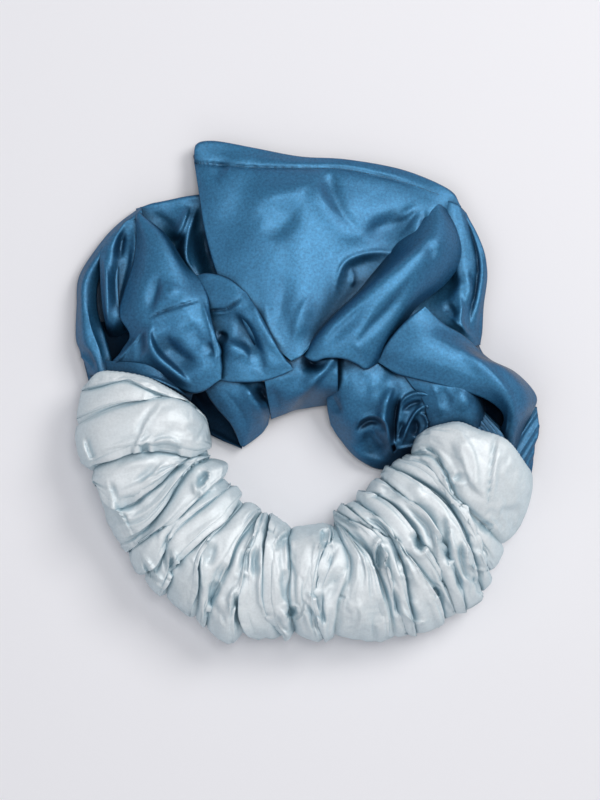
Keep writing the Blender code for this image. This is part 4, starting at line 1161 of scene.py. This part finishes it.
sheet("left_rim", [
    [(141, 207, 5), (142, 211, 7), (144, 217, 6)],
    [(116, 227, 4.5), (119, 231, 6.8), (124, 236, 5.5)],
    [(98, 248, 4.5), (103, 251, 6.8), (110, 255, 5)],
    [(80, 277, 4.5), (86, 279, 7.5), (97, 281, 5.5)],
    [(77.5, 306, 5), (84, 307, 8.5), (96, 309, 6)],
    [(77, 338, 5.5), (87, 338, 10), (103, 336, 7.5)],
    [(82, 353, 6), (93, 354, 11), (108, 354, 9)],
    [(90, 376, 7), (101, 376, 11.5), (114, 376, 9)],
], 84, 24, [
    ([(84, 345), (92, 360), (98, 374)], -1.5, 2.5, "soft"),
    ([(86, 300), (90, 325), (99, 350), (104, 370)], 1.0, 2.6, "sharp"),
    ([(79, 352), (88, 362), (95, 368)], 1.0, 2.0, "sharp"),
], [("v0", 1.0, 4, 0.8), ("v1", 1.0, 3, 1.0)])
sheet("back_sheet", [
    [(136, 209, 4), (160, 204.5, 5), (180, 200, 5), (199, 197.5, 5.5), (218, 196, 5.5)],
    [(140, 222, 4), (162, 224, 4.5), (180, 222, 6), (198, 220, 4), (222, 220, 5)],
    [(150, 245, 4), (170, 245, 4.5), (186, 245, 6.5), (205, 245, 3.5), (230, 245, 5)],
    [(160, 275, 5), (180, 272, 6), (196, 274, 9), (212, 272, 5), (238, 272, 6)],
    [(175, 300, 6), (190, 298, 7), (205, 296, 9), (220, 296, 8), (240, 296, 8)],
], 46, 46, [
    ([(190, 204), (181, 228), (173, 243)], 2.6, 3.2, "sharp", (0.05, 0.2)),
    ([(199, 203), (189, 232), (186, 257), (196, 275)], 3.4, 4.0, "sharp", (0.05, 0.1)),
    ([(184, 230), (178, 246), (178, 262)], -2.5, 4, "soft"),
    ([(204, 228), (206, 250), (210, 268)], -1.8, 5, "soft"),
    ([(150, 212), (166, 222), (176, 232)], -0.8, 5, "soft"),
], [("u0", 0.8, 5, 0.8)])

# pouch between the left lobe and the panel
sheet("pouch", [
    [(193, 277, 13), (208, 276, 15.5), (221, 278, 16.8), (234, 284, 18), (246, 293, 18.5)],
    [(198, 300, 15), (214, 300, 17), (229, 300, 18.8), (243, 304, 20.2), (256, 309, 20)],
    [(204, 325, 15.5), (222, 325, 17), (237, 324, 18.5), (252, 328, 21), (267, 330, 20.5)],
    [(210, 346, 16), (229, 346, 19.5), (245, 346, 19.5), (260, 349, 21.5), (275, 348, 21)],
    [(214, 364, 17), (234, 364, 20), (252, 364, 20.5), (270, 364, 21.5), (285, 362, 21)],
    [(216, 379, 17.5), (239, 380, 19.8), (261, 379, 20.2), (280, 374, 20.5), (293, 369, 20)],
], 72, 54, [
    ([(206, 312), (216, 310), (228, 308), (243, 296)], -1.0, 0.9, "sharp", (0.0, 0.1)),
    ([(206, 315), (218, 313), (230, 311), (244, 300)], 0.8, 1.4, "sharp", (0.1, 0.1)),
    ([(232, 312), (246, 328), (257, 348), (268, 362)], -2.8, 5, "soft"),
    ([(250, 300), (262, 324), (274, 346), (286, 362)], 1.4, 3.2, "soft"),
    ([(222, 334), (230, 345), (244, 352), (248, 366)], 1.8, 5, "soft"),
    ([(216, 332), (224, 336), (230, 338)], -1.6, 3, "soft"),
    ([(256, 352), (262, 364), (262, 376)], -0.8, 4, "soft"),
], [("v1", 0.9, 7, 2.5), ("u1", 0.9, 8, 3.0), ("u0", 0.9, 6, 2.5)], [(18, 0.45, 31, (1, 2.0), 0.6)])

# where the blue runs into the left cuff
sheet("left_neck", [
    [(84, 362, 6), (108, 361, 11), (140, 363, 17.4), (168, 370, 17.6), (198, 380, 16.6)],
    [(88, 378, 6), (112, 376, 11.5), (142, 378, 18), (168, 387, 17.6), (192, 397, 14)],
    [(92, 396, 5), (114, 393, 10), (142, 396, 16), (166, 403, 15), (190, 409, 9)],
], 24, 44, [
    ([(140, 374), (162, 382), (180, 391), (194, 402)], 1.4, 2.2, "sharp", (0.1, 0.05)),
    ([(160, 372), (178, 382), (196, 394)], -1.2, 2.2, "sharp", (0.1, 0.05)),
], [])

# underside of the whole flap
sheet("underside", [
    [(200, 412, 1.5), (160, 402, 1), (120, 396, .8), (94, 388, 1.2)],
    [(215, 407, 1.2), (165, 370, .8), (120, 345, .8), (82, 335, 1.6)],
    [(235, 401, 1), (180, 330, .8), (130, 280, .8), (88, 268, 1.6)],
    [(255, 399, 1), (215, 300, .8), (170, 240, .8), (138, 214, 1.6)],
    [(262, 398, 1), (230, 295, .8), (188, 232, .8), (166, 210, 1.6)],
    [(268, 398, 1), (238, 290, .8), (206, 225, .8), (198, 203, 1.6)],
    [(276, 398, 1), (248, 290, .8), (216, 215, .8), (200, 168, 2.2)],
    [(290, 398, 1), (280, 290, .8), (250, 210, .8), (218, 151, 2.2)],
    [(306, 398, 1), (315, 290, .8), (320, 220, .8), (310, 163, 1.6)],
    [(330, 398, 1), (355, 300, .8), (375, 240, .8), (402, 177, 1.6)],
    [(360, 402, 1), (400, 320, .8), (440, 270, .8), (478, 252, 1.6)],
    [(385, 410, 1), (425, 350, .8), (455, 330, .8), (474, 318, 1.6)],
    [(392, 414, 1), (435, 362, .8), (462, 350, .8), (476, 343, 1.6)],
    [(398, 418, 1.2), (444, 374, .8), (474, 367, .8), (490, 365, 1.6)],
    [(402, 420, 1.2), (450, 385, .8), (492, 382, .8), (522, 390, 1.6)],
    [(415, 435, 1.5), (460, 425, 1), (500, 430, .8), (528, 442, 1.6)],
    [(425, 462, 1.5), (460, 460, 1), (500, 460, .8), (528, 470, 1.6)],
], 90, 36, [], [("v1", 0.5, 1.5, -0.6)], [(30, 0.25, 41)])

# the cloth that turns from the upper layers down to the underside, all round the outer edge: plan point, top height
RIM = [(97, 384, 9), (86, 354, 6), (81.5, 336, 5), (81, 306, 4.6), (85, 279, 4.4), (101, 251, 4.4), (119, 231, 4.2), (140, 213, 4.2), (166, 211, 3.8),
       (186, 206, 4), (199, 200, 5), (200, 185, 6.4), (199, 168, 6.8), (203, 154, 6.6), (218, 149, 5.8), (257, 154, 5), (310, 166, 4.6), (350, 168, 4.6),
       (402, 178, 4.6), (444, 195, 5), (467, 217, 5), (474, 235, 5), (480, 258, 5), (482, 278, 4.6), (479, 303, 4.6), (477, 328, 5.2), (478, 344, 6.5),
       (488, 364, 11.5), (510, 375, 11), (526, 389, 9.5), (532, 402, 7), (534, 428, 3), (530, 446, 2.6), (528, 470, 2.4)]
rim_ = by_length(np.asarray(RIM, float), np.linspace(0, 1, 420))
away_ = np.gradient(rim_[:, :2], axis=0)
away_ = np.stack([away_[:, 1], -away_[:, 0]], -1) / np.maximum(np.linalg.norm(away_, axis=1, keepdims=True), 1e-9)
run_ = np.arange(len(rim_)) * 4.0
WALL = []
for t in np.linspace(0, 1, 12):
    sway = noise(np.stack([run_, np.full_like(run_, 40 * t), 0 * run_], -1), 34.0, 51) * 1.6 + noise(np.stack([run_, np.full_like(run_, 60 * t), 0 * run_], -1), 12.0, 52) * 0.6
    out_ = -3.2 + 2.4 * math.sin(math.pi * t) + sway * math.sin(math.pi * min(1, t * 1.2))
    WALL.append(np.concatenate([rim_[:, :2] + away_ * out_[:, None], (0.8 + (rim_[:, 2:] - 1.2) * t)], 1))
SHEETS.append(("rim_wall", seat(np.stack(WALL))))

GROUPS = {
    "blue_panel_satin": ("panel", "roll", "right_edge"),
    "blue_left_satin": ("left_lobe", "left_second_fold", "left_rim", "back_sheet", "pouch", "left_neck"),
    "blue_right_satin": ("shoulder_flap", "shoulder_lining", "stacked_pleats", "right_lobe"),
    # these sheets take the darker reverse satin, painted shade inside the tube
    "blue_reverse_satin_shaded": ("right_hole", "left_hole", "loop_back"),
    "blue_loop_satin": ("centre_band", "lower_loop", "underside", "rim_wall"),
}
for group, names in GROUPS.items():
    made = [add_object(group, grid_mesh(group, P_), shaded_reverse_mat if "reverse" in group else blue_mat) for n_, P_ in SHEETS if n_ in names]
    bpy.ops.object.select_all(action="DESELECT")
    for o in made:
        o.select_set(True)
    bpy.context.view_layer.objects.active = made[0]
    if len(made) > 1:
        bpy.ops.object.join()
    o = made[0]
    o.name = group
    thick = o.modifiers.new("thickness", "SOLIDIFY"); thick.thickness = 0.0003; thick.offset = 0.0; thick.use_even_offset = False
    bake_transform(o)
    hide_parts("blue_casing")


def on_sheet(name, line, lift, count=160):
    """Seats a plan line on a sheet, at the height the sheet has there."""
    L_ = by_length(np.asarray(line, float), np.linspace(0, 1, count))
    G_ = GRIDS[name].reshape(-1, 3)
    d = ((L_[:, None] - G_[None, :, :2]) ** 2).sum(-1)
    k = np.argsort(d, axis=1)[:, :4]
    w = 1 / (np.take_along_axis(d, k, 1) + 0.05)
    z = (G_[k][..., 2] * w).sum(1) / w.sum(1)
    return seat(np.concatenate([L_, (z + lift)[:, None]], 1))


blue_thread = thread("blue_thread", (0.030, 0.115, 0.215))
edge_runs = running(on_sheet("panel", [(196, 163), (215, 164.4), (250, 167.4), (300, 168.4), (345, 169.6), (400, 181.4), (440, 195)], 0.10), 0.0021, 0.0006)
edge_runs += running(on_sheet("right_edge", [(464, 213), (472, 234), (478, 262), (476, 290), (470, 315), (469, 332)], 0.10), 0.0021, 0.0006)
edge_seam = cords("blue_edge_stitches", edge_runs, 0.00013, blue_thread)
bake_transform(edge_seam)
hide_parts("blue_edge_seam")

# ------------------------------------------------------------------ joins, under the cuffs
# each row: middle (grid u, v), half width (grid units), middle height and half height (mm)
NECKS = {
    "left_join_seam": [(140, 368, 28, 8.5, 5.5), (142, 378, 33, 9.0, 6.4), (144, 388, 38, 9.4, 7.2), (145, 398, 40, 9.6, 7.6), (146, 408, 41, 9.8, 7.6), (147, 420, 41, 10, 7.4)],
    "right_join_seam": [(452, 392, 18, 8.6, 5.0), (457, 406, 22, 8.8, 5.8), (464, 420, 28, 8.8, 6.4), (471, 434, 35, 8.8, 6.8), (474, 448, 38, 9.0, 7.0), (476, 464, 38, 9.2, 7.0)],
}
for node, shape in NECKS.items():
    phi = np.linspace(0, 2 * math.pi, 200, endpoint=False)
    rows_ = []
    for k, t in enumerate(np.linspace(0, 1, 22)):
        u_, v_, a_, z_, h_ = catmull(np.asarray(shape, float), np.array([t]))[0]
        fine = noise(np.stack([phi * 40, np.full_like(phi, t * 30.0), 0 * phi], -1), 9.0, 61)
        pucker = 1 + 0.05 * np.cos(phi * 24 + 2.0 * fine) * (0.35 + 0.65 * math.sin(math.pi * t)) + 0.035 * fine
        c1, s1 = np.cos(phi), np.sin(phi)
        rows_.append(np.stack([u_ + a_ * pucker * np.sign(c1) * np.abs(c1) ** 0.85, v_ + 1.2 * fine, z_ + h_ * pucker * np.sign(s1) * np.abs(s1) ** 0.85], -1))
    rows_ = seat(np.stack(rows_))
    mid = rows_.mean((0, 1))
    ring = add_object(node.replace("seam", "gathers"), grid_mesh(node, rows_, close_v=True), blue_mat)
    thick = ring.modifiers.new("thickness", "SOLIDIFY"); thick.thickness = 0.0003; thick.offset = 0.0
    stitches = []
    mid_row, next_row = rows_[15], rows_[17]
    for k in range(0, 200, 4):
        stitches.append([mid_row[k] + (mid_row[k] - mid) * 0.02, next_row[(k + 2) % 200] + (next_row[(k + 2) % 200] - mid) * 0.02])
    sew = cords(node.replace("seam", "stitches"), stitches, 0.00018, blue_thread)
    for o in (ring, sew):
        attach(o, "joins")
    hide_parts(node)

# ------------------------------------------------------------------ elastic
# the same loop as the CAD's: an ellipse in front, a flattened run behind, ends lapped
rx, ry, cy, top_y, n_ = 0.0540, 0.0530, -0.0102, 0.0040, 2.7
ang = np.linspace(0, 2 * math.pi, 720, endpoint=False) + math.pi / 2
c_, s_ = np.cos(ang), np.sin(ang)
front_ = s_ < 0
path = np.stack([np.where(front_, rx * c_, rx * np.sign(c_) * np.abs(c_) ** (2 / n_)),
                 np.where(front_, cy + ry * s_, cy + (top_y - cy) * np.abs(s_) ** (2 / n_)), np.full_like(c_, 0.0120)], -1)
lap = by_length(np.concatenate([path, path[:1]]), np.linspace(0, 1, 900))
tan_ = np.gradient(lap, axis=0); tan_ /= np.linalg.norm(tan_, axis=1, keepdims=True)
nor = np.cross(tan_, [0, 0, 1.0])
height, half = 0.0074, 0.00045
q = np.linspace(-1, 1, 15)
ribs = 1 + 0.22 * np.abs(np.sin(q * math.pi * 3.5))
outer = lap[:, None] + nor[:, None] * (half * ribs)[None, :, None] + np.array([0, 0, 1.0]) * (q * height / 2)[None, :, None]
inner = (lap[:, None] - nor[:, None] * (half * ribs)[None, :, None] + np.array([0, 0, 1.0]) * (q * height / 2)[None, :, None])[:, ::-1]
band_rows = np.concatenate([outer, inner], 1)[:-1]
knit_mat = knit("elastic_knit", (0.80, 0.80, 0.78))
band = add_object("elastic_knit_band", grid_mesh("elastic_knit_band", band_rows, close_u=True, close_v=True), knit_mat)
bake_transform(band)
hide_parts("elastic_band")
zig = []
for k in range(14):
    x0 = -0.0065 + 0.001 * k
    za, zb = (0.0092, 0.0148) if k % 2 == 0 else (0.0148, 0.0092)
    zig.append([(x0, top_y - 0.0007, za), (x0 + 0.0005, top_y - 0.0008, (za + zb) / 2), (x0 + 0.001, top_y - 0.0007, zb)])
lap_sew = cords("elastic_lap_zigzag", zig, 0.00016, ice_thread)
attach(lap_sew, "joins")
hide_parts("elastic_lap_stitches")

# ------------------------------------------------------------------ stage, light and camera
floor_me = bpy.data.meshes.new("floor")
floor_me.from_pydata([(-3, -3, 0), (3, -3, 0), (3, 3, 0), (-3, 3, 0)], [], [(0, 1, 2, 3)])
fm = bpy.data.materials.new("floor_paper")
fm.use_nodes = True
fm.node_tree.nodes["Principled BSDF"].inputs["Base Color"].default_value = (0.905, 0.90, 0.925, 1)
fm.node_tree.nodes["Principled BSDF"].inputs["Roughness"].default_value = 0.9
fm.node_tree.nodes["Principled BSDF"].inputs["Specular IOR Level"].default_value = 0.1
floor = bpy.data.objects.new("floor", floor_me)
floor_me.materials.append(fm)
bpy.context.scene.collection.objects.link(floor)


def area(name, loc, aim, size, power, color=(1, 1, 1)):
    d = bpy.data.lights.new(name, "AREA")
    d.shape = "RECTANGLE"
    d.size, d.size_y = size
    d.energy = power
    d.color = color
    o = bpy.data.objects.new(name, d)
    o.location = loc
    o.rotation_mode = "QUATERNION"
    o.rotation_quaternion = (Vector(aim) - Vector(loc)).to_track_quat("-Z", "Y")
    bpy.context.scene.collection.objects.link(o)
    return o


area("key", (0.55, 0.42, 0.75), (0.0, 0.0, 0.0), (0.45, 0.45), 4.6, (1.0, 0.99, 0.98))
area("top", (0.14, 0.14, 1.35), (0.0, 0.0, 0.0), (0.42, 0.42), 4.0, (1.0, 1.0, 1.0))
area("fill", (-0.6, -0.1, 0.9), (0.0, 0.0, 0.0), (0.8, 0.8), 1.4, (0.93, 0.95, 1.0))
area("front", (0.1, -0.8, 0.5), (0.0, 0.0, 0.0), (0.7, 0.4), 0.6)
world = bpy.data.worlds.new("studio")
world.use_nodes = True
world.node_tree.nodes["Background"].inputs["Color"].default_value = (0.93, 0.94, 1.0, 1)
world.node_tree.nodes["Background"].inputs["Strength"].default_value = 0.30
bpy.context.scene.world = world
bpy.context.scene.view_settings.view_transform = "Standard"
bpy.context.scene.view_settings.look = "None"

cam = bpy.data.cameras.new("camera")
cam.sensor_width = 36.0
cam.lens = 18.0 / (400 * UNIT / EYE.z)
cam_o = bpy.data.objects.new("camera", cam)
cam_o.location = EYE
bpy.context.scene.collection.objects.link(cam_o)
bpy.context.scene.camera = cam_o
